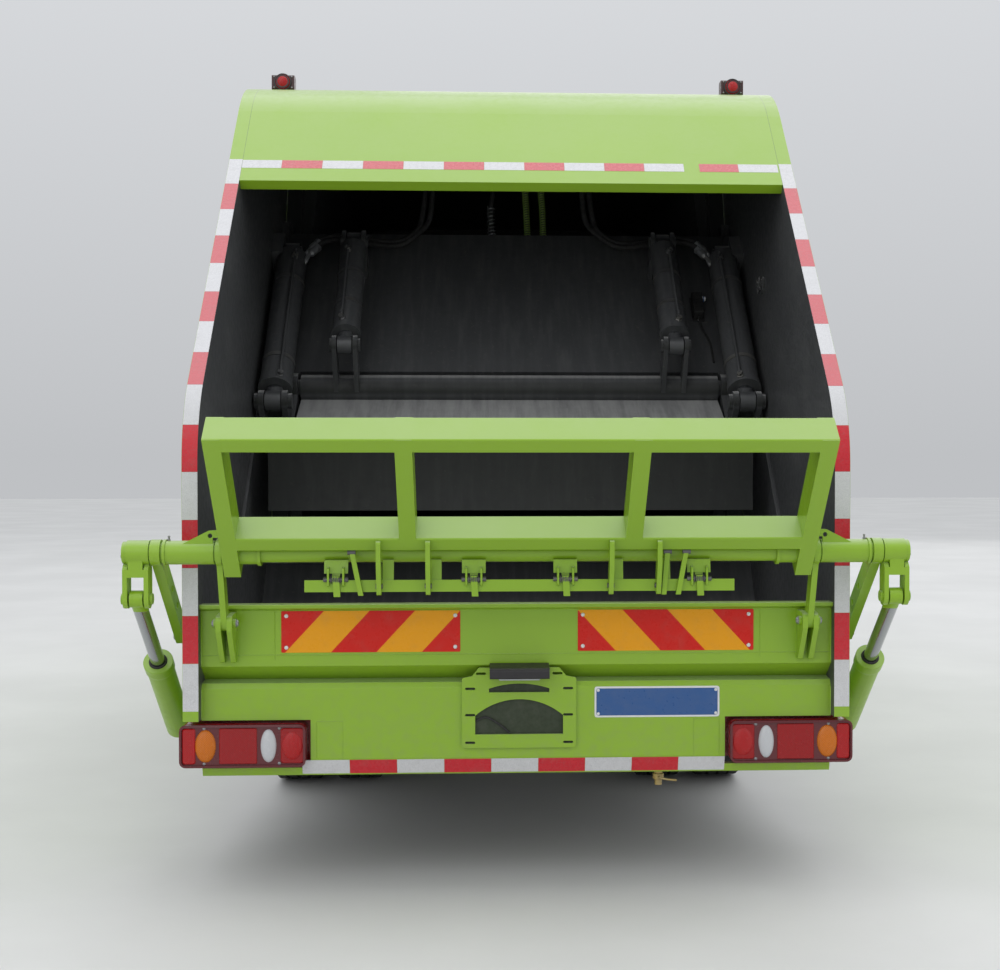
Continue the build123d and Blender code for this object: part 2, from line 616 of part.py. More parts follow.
def scraper():
    """Scraper: tube with journals, box-section blade bent at its knee, and lever lugs."""
    body = pin(PIVOT, TUBE_R, -TUBE_HALF, TUBE_HALF)
    body += pin(PIVOT, JOURNAL_R, -BEAM_OUT + 5, BEAM_OUT - 5)
    upper = [(-20, -44), KNEE, (KNEE[0] + 44, KNEE[1] - 26), (20, -50)]
    rows = [(*add(PIVOT, (p, 1)), 0) for p in upper]
    body += across(rows, -TUBE_HALF, TUBE_HALF)
    knee = add(PIVOT, (KNEE, 1))
    tip = add(PIVOT, (TIP, 1))
    thick = 44
    lower = make_face([
        ThreePointArc(knee, (knee[0] * 0.5 + tip[0] * 0.5 + 14, knee[1] * 0.5 + tip[1] * 0.5), tip),
        Line(tip, (tip[0] + 14, tip[1] - 1)),
        ThreePointArc((tip[0] + 14, tip[1] - 1), (knee[0] * 0.5 + tip[0] * 0.5 + 62, knee[1] * 0.5 + tip[1] * 0.5),
                      (knee[0] + thick, knee[1] - 26)),
        Line((knee[0] + thick, knee[1] - 26), knee),
    ])
    body += across(lower, -SCRAPER_HALF, SCRAPER_HALF)
    web_rows = [(*add(PIVOT, (p, 1)), 0) for p in ((20, -48), (-300, -212), (-286, -400), (-100, -210))]
    for x in (-620, -210, 210, 620):
        body += across(web_rows, x - 8, x + 8)
    lever = add(PIVOT, (LEVER_PIN, 1))
    for x in (-LEVER_X, LEVER_X):
        for x0, x1 in ((x - 50, x - 32), (x + 32, x + 50)):
            body += link(add(PIVOT, ((-1, 0.2), 20)), lever, 38, x0, x1)
            cap = x0 - 10 if x0 < x else x1
            body += pin(lever, 26, cap, cap + 10)
    keep("scraper", body)


def scraper_cylinders():
    """Cylinders that swing the scraper: barrels hinged high on the carriage."""
    base = on_slope(*LEVER_BASE)
    lever = add(PIVOT, (LEVER_PIN, 1))
    size = (LEVER_BORE_R, LEVER_ROD_R, 36, 24, 28, 52)
    length = hypot(lever[0] - base[0], lever[1] - base[1])
    barrel, rod = cylinder_parts(base, lever, LEVER_X, length - 58, size)
    keep("scraper_barrels", both(barrel))
    keep("scraper_rods", both(rod))


# Body lifting

def lift_pin():
    return (split_y(LIFT_Z) + 70, LIFT_Z)


def lift_cylinders():
    """Cylinders beside the load box that raise the tailgate."""
    size = (36, 20, 30, 20, 20, 24)
    barrel, rod = cylinder_parts(LIFT_BASE, lift_pin(), LIFT_X, 960, size)
    keep("lift_barrels", both(barrel))
    keep("lift_rods", both(rod))


# Load box

def box_section(inset):
    """Cross-section of the load box with bowed sides and roof."""
    half = BOX_HALF - inset
    foot = BOX_FOOT + inset
    top = ROOF_Z - 12 - inset
    drawn_in = 32
    shoulder = 150
    side_mid = (foot + top - shoulder) / 2
    def half_edges(sign):
        low = (sign * (half - drawn_in), foot)
        high = (sign * (half - drawn_in), top - shoulder)
        crown = (sign * (half - drawn_in - shoulder), top - 8)
        bend = (sign * (half - drawn_in - shoulder * 0.28), top - shoulder * 0.30)
        return low, (sign * half, side_mid), high, bend, crown
    low, mid, high, bend, crown = half_edges(1)
    low2, mid2, high2, bend2, crown2 = half_edges(-1)
    return make_face([
        Line(low2, low), ThreePointArc(low, mid, high), ThreePointArc(high, bend, crown),
        ThreePointArc(crown, (0, top), crown2), ThreePointArc(crown2, bend2, high2),
        ThreePointArc(high2, mid2, low2),
    ])


def load_box():
    """Hollow box with bowed walls, ribs, rear joint face on the slant, cross-members below."""
    rear = 1400.0
    low, high = BOX_FOOT - 330, ROOF_Z + 220
    ahead = BOX_FRONT + 160
    shell = along(box_section(0), rear, BOX_FRONT)
    shell -= along(box_section(BOX_WALL), rear - 1, BOX_FRONT - BOX_WALL)
    for y in (2750, 3450, 4150):
        rib = along(box_section(-14), y, y + 70) - along(box_section(1), y - 1, y + 71)
        shell += rib
    collar = along(box_section(-14), rear, 2500) - along(box_section(1), rear - 1, 2501)
    behind = across([(split_y(low) + 90, low, 0), (ahead, low, 0), (ahead, high, 0), (split_y(high) + 90, high, 0)],
                    -1200, 1200)
    shell += collar - behind
    open_end = across([(rear - 200, low, 0), (split_y(low) + PANEL_GAP, low, 0),
                       (split_y(high) + PANEL_GAP, high, 0), (rear - 200, high, 0)], -1200, 1200)
    shell -= open_end
    for y in (1650, 2100, 2550, 3000, 3450, 3900, 4350, BOX_FRONT - 60):
        shell += block((-880, 880), (y, y + 60), (BEAM_TOP, BOX_FOOT + 2))
    for x in (-560, 560):
        for x0, x1 in ((x - 52, x - 34), (x + 34, x + 52)):
            rows = [(SPLIT_TOP_Y + 40, ROOF_Z - 24, 0), (HINGE[0] + 170, ROOF_Z - 24, 0),
                    (HINGE[0] + 60, HINGE[1] + 20, 10), (HINGE[0], HINGE[1] + 34, 0), (HINGE[0], HINGE[1] - 20, 0)]
            shell += across(rows, x0, x1) + pin(HINGE, 34, x0, x1)
        shell += pin(HINGE, 20, x - 60, x + 60)
    for side in both_sides(lift_mount()):
        shell += side
    keep("load_box", shell)


def lift_mount():
    """Plate and pin on the box's side that carry a lifting cylinder."""
    y, z = LIFT_BASE
    plate = block((BOX_HALF - 30, LIFT_X - 43), (y - 70, y + 90), (z - 90, z + 90))
    boss = pin(LIFT_BASE, 32, LIFT_X - 43, LIFT_X - 39)
    return plate + boss + pin(LIFT_BASE, 20, BOX_HALF, LIFT_X + 23)


def ejector_plate():
    """Leaning push plate with its foot, sliding on the box floor."""
    floor = BOX_FOOT + BOX_WALL + SEAT
    head = ROOF_Z - 180
    front = BOX_FRONT - 140
    rows = [(front - 450, floor, 0), (front - 370, floor + 60, 0), (front - 280, head, 0), (front - 350, head, 0)]
    plate = across(rows, -EJECTOR_HALF, EJECTOR_HALF)
    for x in (-600, 0, 600):
        plate += across([(front - 400, floor, 0), (front, floor, 0), (front, floor + 70, 0),
                         (front - 280, head - 200, 0), (front - 300, head - 200, 0)], x - 25, x + 25)
    keep("ejector_plate", plate)


# Chassis

def chassis_frame():
    """Ladder frame: two channel rails cut down at the rear, cross-members, and the body's beams."""
    foot = RAIL_TOP - RAIL_H
    inner = RAIL_HALF - RAIL_FLANGE
    profile = [(RAIL_REAR, foot, 0), (RAIL_FRONT, foot, 0), (RAIL_FRONT, RAIL_TOP, 0),
               (RAIL_REAR + 150, RAIL_TOP, 0), (RAIL_REAR, RAIL_TOP - 115, 0)]
    rail = across(profile, inner, RAIL_HALF)
    hollow = [(RAIL_REAR - 1, foot + RAIL_T, 0), (RAIL_FRONT + 1, foot + RAIL_T, 0),
              (RAIL_FRONT + 1, RAIL_TOP - RAIL_T, 0), (RAIL_REAR + 150, RAIL_TOP - RAIL_T, 0),
              (RAIL_REAR - 1, RAIL_TOP - 115 - RAIL_T, 0)]
    rail -= across(hollow, inner - 1, RAIL_HALF - RAIL_T)
    frame = rail + mirror(rail, about=Plane.YZ)
    for y in (1345, 2150, 2900, 3650, 4300, RAIL_FRONT - 170):
        frame += block((-RAIL_HALF + 2, RAIL_HALF - 2), (y, y + 70), (foot + 45, foot + 125))
    for x0, x1 in ((inner, RAIL_HALF), (-RAIL_HALF, -inner)):
        frame += block((x0, x1), (1640, BOX_FRONT), (RAIL_TOP, BEAM_TOP))
    for side in (-1, 1):
        y, z = CAB_HINGE
        x0, x1 = sorted((side * 322, side * 342))
        frame += across([(y - 60, RAIL_TOP, 0), (RAIL_FRONT, RAIL_TOP, 0), (y + 22, z + 10, 10),
                         (y - 22, z + 20, 10)], x0, x1)
        x0, x1 = sorted((side * 322, side * 374))
        frame += pin(CAB_HINGE, 15, x0, x1)
    keep("chassis_frame", frame)


def spring_pack(axle_y, seat_z, eye_z, front, rear, leaves):
    """Leaf spring with hangers: stepped leaves bent to one arc, from x inwards to the rail."""
    x0, x1 = SPRING_X - SPRING_W / 2, SPRING_X + SPRING_W / 2
    low = seat_z + LEAF_T * (leaves - 0.5)
    rise = eye_z - low
    reach = (front + rear) / 2
    radius = (reach * reach + rise * rise) / (2 * rise)
    middle = axle_y + (front - rear) / 2
    centre = (middle, low + radius)
    pack = block((SPRING_X - 42, SPRING_X + 42), (axle_y - 60, axle_y + 60),
                 (seat_z, seat_z + LEAF_T * leaves + 14))
    for i in range(leaves):
        bend = radius + LEAF_T * i
        spread = degrees(asin(reach * (1 - 0.14 * i) / radius))
        pack += across(sector(centre, bend - LEAF_T / 2, bend + LEAF_T / 2, 270 - spread, 270 + spread), x0, x1)
    foot = RAIL_TOP - RAIL_H
    for y in (middle + reach, middle - reach):
        pack += pin((y, eye_z), 20, x0, x1)
        pack += across([(y - 45, foot + 60, 0), (y + 45, foot + 60, 0), (y + 24, eye_z, 10), (y - 24, eye_z, 10)],
                       RAIL_HALF, x1)
    return pack


def springs():
    """Four leaf springs with their brackets on the rails."""
    front = spring_pack(FRONT_AXLE_Y, FRONT_SEAT, 520, 560, 560, 4)
    rear = spring_pack(REAR_AXLE_Y, REAR_SEAT, 535, 540, 440, 5)
    keep("leaf_springs", both(front, rear))


def front_axle():
    """Forged beam with dropped middle and kingpin eyes."""
    top = FRONT_SEAT - SEAT_STEP
    half = 34
    rows = [(-560, top - 62, 60), (560, top - 62, 60), (KINGPIN_X - 30, WHEEL_Z - 36, 30), (KINGPIN_X, WHEEL_Z - 36, 0),
            (KINGPIN_X, WHEEL_Z + 36, 0), (KINGPIN_X - 50, WHEEL_Z + 36, 30), (540, top, 60), (-540, top, 60),
            (-KINGPIN_X + 50, WHEEL_Z + 36, 30), (-KINGPIN_X, WHEEL_Z + 36, 0), (-KINGPIN_X, WHEEL_Z - 36, 0),
            (-KINGPIN_X + 30, WHEEL_Z - 36, 30)]
    beam = along(rows, FRONT_AXLE_Y - half, FRONT_AXLE_Y + half)
    for x in (-KINGPIN_X, KINGPIN_X):
        beam += bar((x, FRONT_AXLE_Y, WHEEL_Z - 38), (x, FRONT_AXLE_Y, WHEEL_Z + 38), 34)
        beam -= bar((x, FRONT_AXLE_Y, WHEEL_Z - 60), (x, FRONT_AXLE_Y, WHEEL_Z + 60), KINGPIN_R + FIT)
    keep("front_axle", beam)


def knuckle():
    """Steering knuckle: yoke, kingpin, stub axle and steering arm."""
    y, z = FRONT_AXLE_Y, WHEEL_Z
    yoke = None
    for z0, z1 in ((z + 38 + SEAT, z + 66), (z - 66, z - 38 - SEAT)):
        lug = bar((KINGPIN_X, y, z0), (KINGPIN_X, y, z1), 32)
        lug += block((KINGPIN_X, KINGPIN_X + 62), (y - 32, y + 32), (z0, z1))
        yoke = lug if yoke is None else yoke + lug
    yoke += block((KINGPIN_X + 40, KINGPIN_X + 62), (y - 40, y + 40), (z - 70, z + 70))
    yoke += bar((KINGPIN_X, y, z - 60), (KINGPIN_X, y, z + 60), KINGPIN_R)
    yoke += bar((KINGPIN_X + 60, y, z), (FRONT_HUB_X + 40, y, z), SPINDLE_R)
    arm = block((KINGPIN_X - 26, KINGPIN_X + 50), (y - 170, y - 30), (z - 64, z - 44))
    return yoke + arm


def wheels():
    """Front wheels, and twin rear wheels on one hub a side."""
    for side, sign in (("right", 1), ("left", -1)):
        def placed(shape, flip=sign):
            return shape if flip == 1 else mirror(shape, about=Plane.YZ)
        spot = Pos(FRONT_HUB_X, FRONT_AXLE_Y, WHEEL_Z)
        keep(f"front_tyre_{side}", placed(spot * tyre()))
        hub = turned([(-56, SPINDLE_R + FIT, 0), (-56, 74, 0), (94, 74, 0), (94, 54, 0), (106, 52, 0), (112, 44, 0),
                      (112, 0, 0), (44, 0, 0), (44, SPINDLE_R + FIT, 0)])
        drum = turned([(-74, 148, 0), (-74, 162, 0), (-2, 162, 0), (-2, 60, 0), (-12, 60, 0), (-12, 148, 0)])
        keep(f"front_rim_{side}", placed(spot * (rim(1) + hub + drum)))
        keep(f"knuckle_{side}", placed(knuckle()))
        twin = None
        for x, way in ((REAR_OUT_X, -1), (REAR_OUT_X - TWIN_GAP, 1)):
            piece = Pos(x, REAR_AXLE_Y, WHEEL_Z) * rim(way)
            twin = piece if twin is None else twin + piece
        hub_x = REAR_OUT_X - TWIN_GAP / 2
        hub = turned([(-190, AXLE_END_R + FIT, 0), (-190, 96, 0), (60, 96, 0), (76, 72, 0), (90, 68, 0), (96, 62, 0),
                      (96, 0, 0), (44, 0, 0), (44, AXLE_END_R + FIT, 0)])
        drum = turned([(-236, 152, 0), (-236, 168, 0), (-150, 168, 0), (-150, 80, 0), (-162, 80, 0), (-162, 152, 0)])
        twin += Pos(hub_x, REAR_AXLE_Y, WHEEL_Z) * (hub + drum)
        keep(f"rear_rims_{side}", placed(twin))
        keep(f"rear_tyres_{side}", [placed(Pos(x, REAR_AXLE_Y, WHEEL_Z) * tyre())
                                    for x in (REAR_OUT_X, REAR_OUT_X - TWIN_GAP)])


def tyre():
    """Plain carcass: tread, shoulders, bulged walls and beads."""
    half = TYRE_W / 2
    seat = RIM_R + SEAT
    wall = [(78.5, seat), (78.5, RIM_R + 16), (84, RIM_R + 24), (half, TYRE_R - 130), (half, TYRE_R - 88),
            (99, TYRE_R - 22), (84, TYRE_R)]
    return turned([(-x, r, 0) for x, r in wall] + [(x, r, 0) for x, r in reversed(wall)])


def rim(way):
    """Disc wheel about x = 0; way is the side that its disc bulges to."""
    well = turned([(-90, RIM_R - 15, 0), (-90, RIM_R + 15, 0), (-80, RIM_R + 15, 0), (-79, RIM_R, 0), (79, RIM_R, 0),
                   (80, RIM_R + 15, 0), (90, RIM_R + 15, 0), (90, RIM_R - 15, 0)])
    disc = turned([(104, 60, 0), (104, 112, 0), (96, 124, 0), (40, RIM_R - 12, 0), (28, RIM_R - 10, 0), (86, 116, 0),
                   (92, 106, 0), (92, 60, 0)])
    for i in range(8):
        angle = radians(45 * i + 22.5)
        y, z = 150 * cos(angle), 150 * sin(angle)
        disc -= bar((20, y, z), (130, y, z), 21)
    wheel = well + disc
    return wheel if way == 1 else mirror(wheel, about=Plane.YZ)


def rear_axle():
    """Driven axle: banjo housing, tapered tubes, and the propeller shaft to the gearbox."""
    y, z = REAR_AXLE_Y, WHEEL_Z
    tube = pin((y, z), 60, -480, 480) + pin((y, z), AXLE_END_R, -REAR_OUT_X + 92, REAR_OUT_X - 92)
    case = turned([(-120, 0, 0), (-120, 90, 40), (-60, 165, 60), (60, 165, 60), (120, 90, 40), (120, 0, 0)])
    axle = tube + Pos(0, y, z) * case
    axle += bar((0, y + 100, z + 4), (0, y + 250, z + 8), 62)
    for x in (-SPRING_X, SPRING_X):
        axle += block((x - 38, x + 38), (y - 52, y + 52), (z, REAR_SEAT - SEAT_STEP))
    shaft = bar((0, y + 240, z + 8), (0, ENGINE_REAR + 20, 545), 38)
    shaft -= block((-100, 100), (ENGINE_REAR, ENGINE_REAR + 100), (400, 700))
    yokes = bar((0, y + 250, z + 8), (0, y + 330, z + 12), 52)
    keep("rear_axle", axle + shaft + yokes)


def engine():
    """Engine and gearbox as one plain block between the rails."""
    low = block((-230, 230), (ENGINE_REAR + 700, FRONT_AXLE_Y + 450), (470, 868))
    box = block((-150, 150), (ENGINE_REAR, ENGINE_REAR + 700), (450, 690))
    mount = block((-RAIL_HALF + RAIL_T, RAIL_HALF - RAIL_T), (FRONT_AXLE_Y - 450, FRONT_AXLE_Y - 390), (600, 660))
    keep("engine_block", low + box + mount)


def tanks():
    """Fuel tank, oil tank, battery box, air tanks and silencer, each on its brackets."""
    def slung(x0, x1, y0, y1, z0, z1, radius):
        rows = [(x0, z0, radius), (x1, z0, radius), (x1, z1, radius), (x0, z1, radius)]
        tank = along(rows, y0, y1)
        for y in (y0 + 90, y1 - 130):
            tank += block((RAIL_HALF, x0 + 30), (y, y + 40), (z1 - 90, z1 - 50))
        return tank
    keep("fuel_tank", slung(470, 860, 2760, 3460, 400, 740, 60))
    keep("oil_tank", mirror(slung(470, 860, 2760, 3360, 430, 760, 30), about=Plane.YZ))
    keep("battery_box", mirror(slung(480, 860, 3560, 4060, 440, 720, 15), about=Plane.YZ))
    air = None
    for z in (500, 640):
        part = bar((600, 3600, z), (600, 4300, z), 66) + bar((600, 3585, z), (600, 4315, z), 50)
        air = part if air is None else air + part
    for y in (3700, 4160):
        air += block((RAIL_HALF, 600), (y, y + 40), (550, 590))
    keep("air_tanks", air)
    pipe = bar((-560, 4200, 510), (-560, 4690, 510), 100) + bar((-560, 4120, 510), (-560, 4210, 510), 32)
    pipe += bar((-560, 4680, 510), (-560, 4790, 510), 32) + bar((-560, 4790, 510), (-150, 4790, 510), 32)
    pipe += Pos(-560, 4790, 510) * Sphere(32)
    for y in (4300, 4600):
        pipe += block((-560, -RAIL_HALF), (y, y + 40), (565, 600))
    keep("silencer", pipe)


def mudguards():
    """Bent guards over the twin wheels, with arms to the rails."""
    centre = (REAR_AXLE_Y, WHEEL_Z)
    guard = across(sector(centre, GUARD_R, GUARD_R + 8, 22, 158), 505, 1012)
    for dy in (-330, 0, 330):
        top = WHEEL_Z + sqrt(GUARD_R ** 2 - dy * dy) + 3
        y = REAR_AXLE_Y + dy
        low = min(700, top - 30)
        low = max(low, 600)
        guard += block((RAIL_HALF, 524), (y - 14, y + 14), (low, low + 26))
        guard += block((506, 524), (y - 14, y + 14), (low, top))
    keep("mudguards", both(guard))


def side_guards():
    """Two rails a side on posts that hang from the body's beams."""
    guard = None
    post = BOX_HALF - 15
    for z in (500, 680):
        part = block((post, post + 30), (2380, 4400), (z, z + 60))
        guard = part if guard is None else guard + part
    for y in (2480, 4300):
        guard += block((post - 30, post), (y, y + 50), (470, BOX_FOOT))
        guard += block((post - 70, post - 30), (y, y + 50), (BEAM_TOP + 10, BOX_FOOT))
    keep("side_guards", both(guard))


# Cab

def cab_form(inset, floor):
    """The cab's rounded outer form drawn in by inset, above floor.

    Its corners meet the flat sides in a faint crease: the plan and the roof line stand proud of them.
    """
    side = [
        (CAB_BACK + inset, floor, 20), (CAB_BACK + inset, CAB_ROOF - inset, 100),
        (CAB_FRONT - 460 - inset * 0.6, CAB_ROOF - inset, 160), (CAB_FRONT - 40 - inset, 1440, 120), (CAB_FRONT - inset, 1300, 120), (CAB_FRONT - inset, floor, 20),
    ]
    half = CAB_HALF - inset
    wide = half + CREASE
    plan = [(-wide, CAB_BACK + inset - CREASE, 50), (wide, CAB_BACK + inset - CREASE, 50),
            (wide, CAB_FRONT - inset + CREASE, 190), (-wide, CAB_FRONT - inset + CREASE, 190)]
    crown = CAB_ROOF - inset + CREASE
    front = [
        (-half, floor - 5, 0), (half, floor - 5, 0), (half, BELT_Z, 0), (half - ROOF_DRAWN_IN, crown, 120),
        (-half + ROOF_DRAWN_IN, crown, 120), (-half, BELT_Z, 0),
    ]
    form = across(side, -CAB_HALF - 50, CAB_HALF + 50)
    form &= upward(plan, 500, 2500)
    form &= along(front, CAB_BACK - 145, CAB_FRONT + 220)
    return form


def door_rows(grow):
    """Door outline in side view, larger by grow."""
    rear = DOOR_REAR - grow
    return [(DOOR_FRONT + grow, 800 - grow, 30), (DOOR_FRONT + grow, 1440 + grow * 0.3, 40),
            (CAB_FRONT - 490 + grow, 2170 + grow, 60), (rear, 2170 + grow, 60), (rear, 960 - grow, 40),
            (FRONT_AXLE_Y + 110 - grow, 940 - grow, 60), (FRONT_AXLE_Y + 270 - grow * 0.4, 800 - grow, 40)]


def window_rows(shrink):
    """Door window in side view, smaller by shrink."""
    return [(DOOR_FRONT - 95 - shrink, 1480 + shrink, 30), (DOOR_FRONT - 380 - shrink, 2095 - shrink, 50),
            (DOOR_REAR + 90 + shrink, 2095 - shrink, 50), (DOOR_REAR + 90 + shrink, 1480 + shrink, 40)]


def windscreen_rows(shrink):
    """Windscreen in front view, smaller by shrink."""
    return [(-880 + shrink, 1500 + shrink, 60), (880 - shrink, 1500 + shrink, 60),
            (830 - shrink, 2170 - shrink, 90), (-830 + shrink, 2170 - shrink, 90)]


def back_window_rows(shrink):
    return [(-600 + shrink, 1600 + shrink, 60), (600 - shrink, 1600 + shrink, 60),
            (600 - shrink, 2080 - shrink, 60), (-600 + shrink, 2080 - shrink, 60)]


def lamp_rows(shrink):
    """Headlamp in front view, smaller by shrink."""
    return [(610 + shrink, 900 + shrink, 30), (930 - shrink, 900 + shrink, 50),
            (930 - shrink, 1040 - shrink, 40), (610 + shrink, 1020 - shrink, 30)]


def cab():
    """Cab shell, doors, glass and lamps, all cut from one rounded form."""
    outer = cab_form(0, CAB_FOOT)
    inner = cab_form(CAB_WALL, CAB_FLOOR)
    under = block((-CAB_HALF + 60, CAB_HALF - 60), (CAB_BACK - 1, CAB_FRONT - 60), (600, CAB_FLOOR - 45))
    shell = outer - inner - under
    shell -= block((-450, 450), (CAB_FRONT - 200, CAB_FRONT + 1), (600, 800))
    arch = pin((FRONT_AXLE_Y, WHEEL_Z), ARCH_R, -CAB_HALF - 10, CAB_HALF + 10)
    shell -= arch
    for x0, x1 in ((CAB_HALF - CAB_WALL - 75, CAB_HALF + 60), (-CAB_HALF - 60, -CAB_HALF + CAB_WALL + 75)):
        shell -= across(door_rows(PANEL_GAP), x0, x1)
    screen = (CAB_FRONT - 680, CAB_FRONT + 220)
    back = (CAB_BACK - 145, CAB_BACK + 155)
    lamps = (CAB_FRONT - 100, CAB_FRONT + 120)
    shell -= along(windscreen_rows(0), *screen)
    shell -= along(back_window_rows(0), *back)
    lamp_prism = along(lamp_rows(0), *lamps)
    shell -= lamp_prism + mirror(lamp_prism, about=Plane.YZ)
    for x0, x1 in ((344, 364), (-364, -344)):
        lug = across([(CAB_HINGE[0] - 50, CAB_FLOOR - 40, 0), (CAB_HINGE[0] + 30, CAB_FLOOR - 40, 0),
                      (CAB_HINGE[0] + 22, CAB_HINGE[1] - 4, 8), (CAB_HINGE[0] - 22, CAB_HINGE[1] - 4, 8)], x0, x1)
        lug += pin(CAB_HINGE, 24, x0, x1)
        shell += lug - pin(CAB_HINGE, 15 + FIT, x0 - 1, x1 + 1)
    shell += door_pins()
    keep("cab_shell", largest(shell))
    skin = cab_form(17, CAB_FOOT) - cab_form(24, CAB_FOOT - 6)
    keep("cab_glass", largest(skin & along(windscreen_rows(SEAT), *screen)),
         largest(skin & along(back_window_rows(SEAT), *back)))
    lamp = (cab_form(-6, CAB_FOOT) - cab_form(60, CAB_FOOT)) & along(lamp_rows(SEAT), *lamps)
    keep("headlamps", both(largest(lamp)))
    wall = outer - cab_form(CAB_WALL, CAB_FOOT)
    room = block((0, CAB_HALF + 60), (CAB_BACK - 45, CAB_FRONT + 120), (700, 2400))
    door = wall & across(door_rows(0), CAB_HALF - CAB_WALL - 70, CAB_HALF + 60) & room
    door = largest(door - across(window_rows(0), 700, 1200))
    for z in HINGE_HEIGHTS:
        leaf = block((CAB_HALF - 3, DOOR_HINGE_X), (DOOR_FRONT - 60, HINGE_Y), (z - 18, z + 18))
        leaf += bar((DOOR_HINGE_X, HINGE_Y, z - 18), (DOOR_HINGE_X, HINGE_Y, z + 18), 11)
        door += leaf - bar((DOOR_HINGE_X, HINGE_Y, z - 30), (DOOR_HINGE_X, HINGE_Y, z + 30), 6 + FIT)
    door += block((CAB_HALF - 4, CAB_HALF + 16), (DOOR_REAR + 60, DOOR_REAR + 200), (1330, 1366))
    keep("door_right", door)
    keep("door_left", mirror(door, about=Plane.YZ))
    pane = largest(skin & across(window_rows(SEAT), 700, 1200))
    keep("door_glass_right", pane)
    keep("door_glass_left", mirror(pane, about=Plane.YZ))


def largest(shape):
    """The largest solid of a shape."""
    return max(shape.solids(), key=lambda solid: solid.volume)


def door_pins():
    """Hinge pins on the front pillars, each on a bracket above and below the door's leaf."""
    pins = None
    for z in HINGE_HEIGHTS:
        part = bar((DOOR_HINGE_X, HINGE_Y, z - 34), (DOOR_HINGE_X, HINGE_Y, z + 34), 6)
        for z0, z1 in ((z + 18 + SEAT, z + 34), (z - 34, z - 18 - SEAT)):
            part += bar((DOOR_HINGE_X, HINGE_Y, z0), (DOOR_HINGE_X, HINGE_Y, z1), 11)
            part += block((CAB_HALF - 45, DOOR_HINGE_X), (HINGE_Y, HINGE_Y + 40), (z0, z1))
        pins = part if pins is None else pins + part
    return pins + mirror(pins, about=Plane.YZ)


def cab_inside():
    """Seats on their bases, and the dashboard with the steering wheel."""
    bases = []
    seats = []
    rear, front = CAB_BACK + 165, CAB_BACK + 775
    for x0, x1 in ((-760, -260), (-60, 760)):
        bases.append(block((x0 + 30, x1 - 30), (rear + 50, front - 80), (CAB_FLOOR, SEAT_FOOT)))
        cushion = across([(rear, SEAT_FOOT + SEAT, 20), (front, SEAT_FOOT + SEAT, 50), (front, 1270, 50),
                          (rear, 1258, 8)], x0, x1)
        back = across([(rear, 1240, 8), (rear + 125, 1240, 8), (rear + 50, 1900, 50), (rear - 70, 1900, 50)], x0, x1)
        seats.append(cushion + back)
    keep("seat_bases", bases)
    keep("seats", seats)
    near = CAB_FRONT - 330
    dash = along([(-DASH_HALF, 1080, 20), (DASH_HALF, 1080, 20), (DASH_HALF, 1400, 40), (-200, 1400, 60),
                  (-260, 1450, 40), (-700, 1450, 40), (-760, 1400, 60), (-DASH_HALF, 1400, 40)], near, CAB_FRONT - 20)
    dash &= cab_form(CAB_WALL + SEAT, CAB_FLOOR)
    dash -= across([(near - 50, 1000, 0), (near + 80, 1060, 0), (near + 30, 1300, 60), (near - 50, 1340, 0)],
                   -1000, 1000)
    hub = Vector(-500, CAB_FRONT - 520, 1420)
    way = Vector(0, 0.62, -0.78)
    ring = Plane(origin=hub, z_dir=way) * Torus(205, 14)
    ring += bar(hub - way * 12, hub + way * 30, 52)
    ring += bar(hub + way * 20, hub + way * 480, 26)
    for angle in (90, 210, 330):
        spoke = Rot(0, 0, angle) * block((0, 200), (-16, 16), (-6, 6))
        ring += Plane(origin=hub, z_dir=way) * spoke
    keep("dashboard", dash + ring)


def cab_front():
    """Grille of slats on the cab's face, and the mirrors on their arms."""
    face = CAB_FRONT
    grille = along([(-560, 860, 30), (560, 860, 30), (560, 1120, 40), (-560, 1120, 40)], face, face + 12)
    grille -= along([(-530, 888, 20), (530, 888, 20), (530, 1092, 26), (-530, 1092, 26)], face + 4, face + 20)
    for z in (916, 958, 1000, 1042, 1070):
        grille += across([(face + 3, z, 0), (face + 3, z + 14, 0), (face + 13, z + 8, 0), (face + 13, z, 0)], -531, 531)
    keep("front_grille", grille)
    top, bend, low = (1090, face - 10, 2020), (1110, face, 1440), (CAB_HALF - 60, face - 80, 1400)
    arm = bar((CAB_HALF - 20, face - 230, 1990), top, 11) + bar(top, bend, 11)
    arm += bar(bend, low, 11)
    head = along([(1020, 1560, 30), (1190, 1560, 30), (1190, 1940, 30), (1020, 1940, 30)], face - 25, face + 25)
    keep("mirrors", both(largest(arm + head - cab_form(0, CAB_FOOT))))


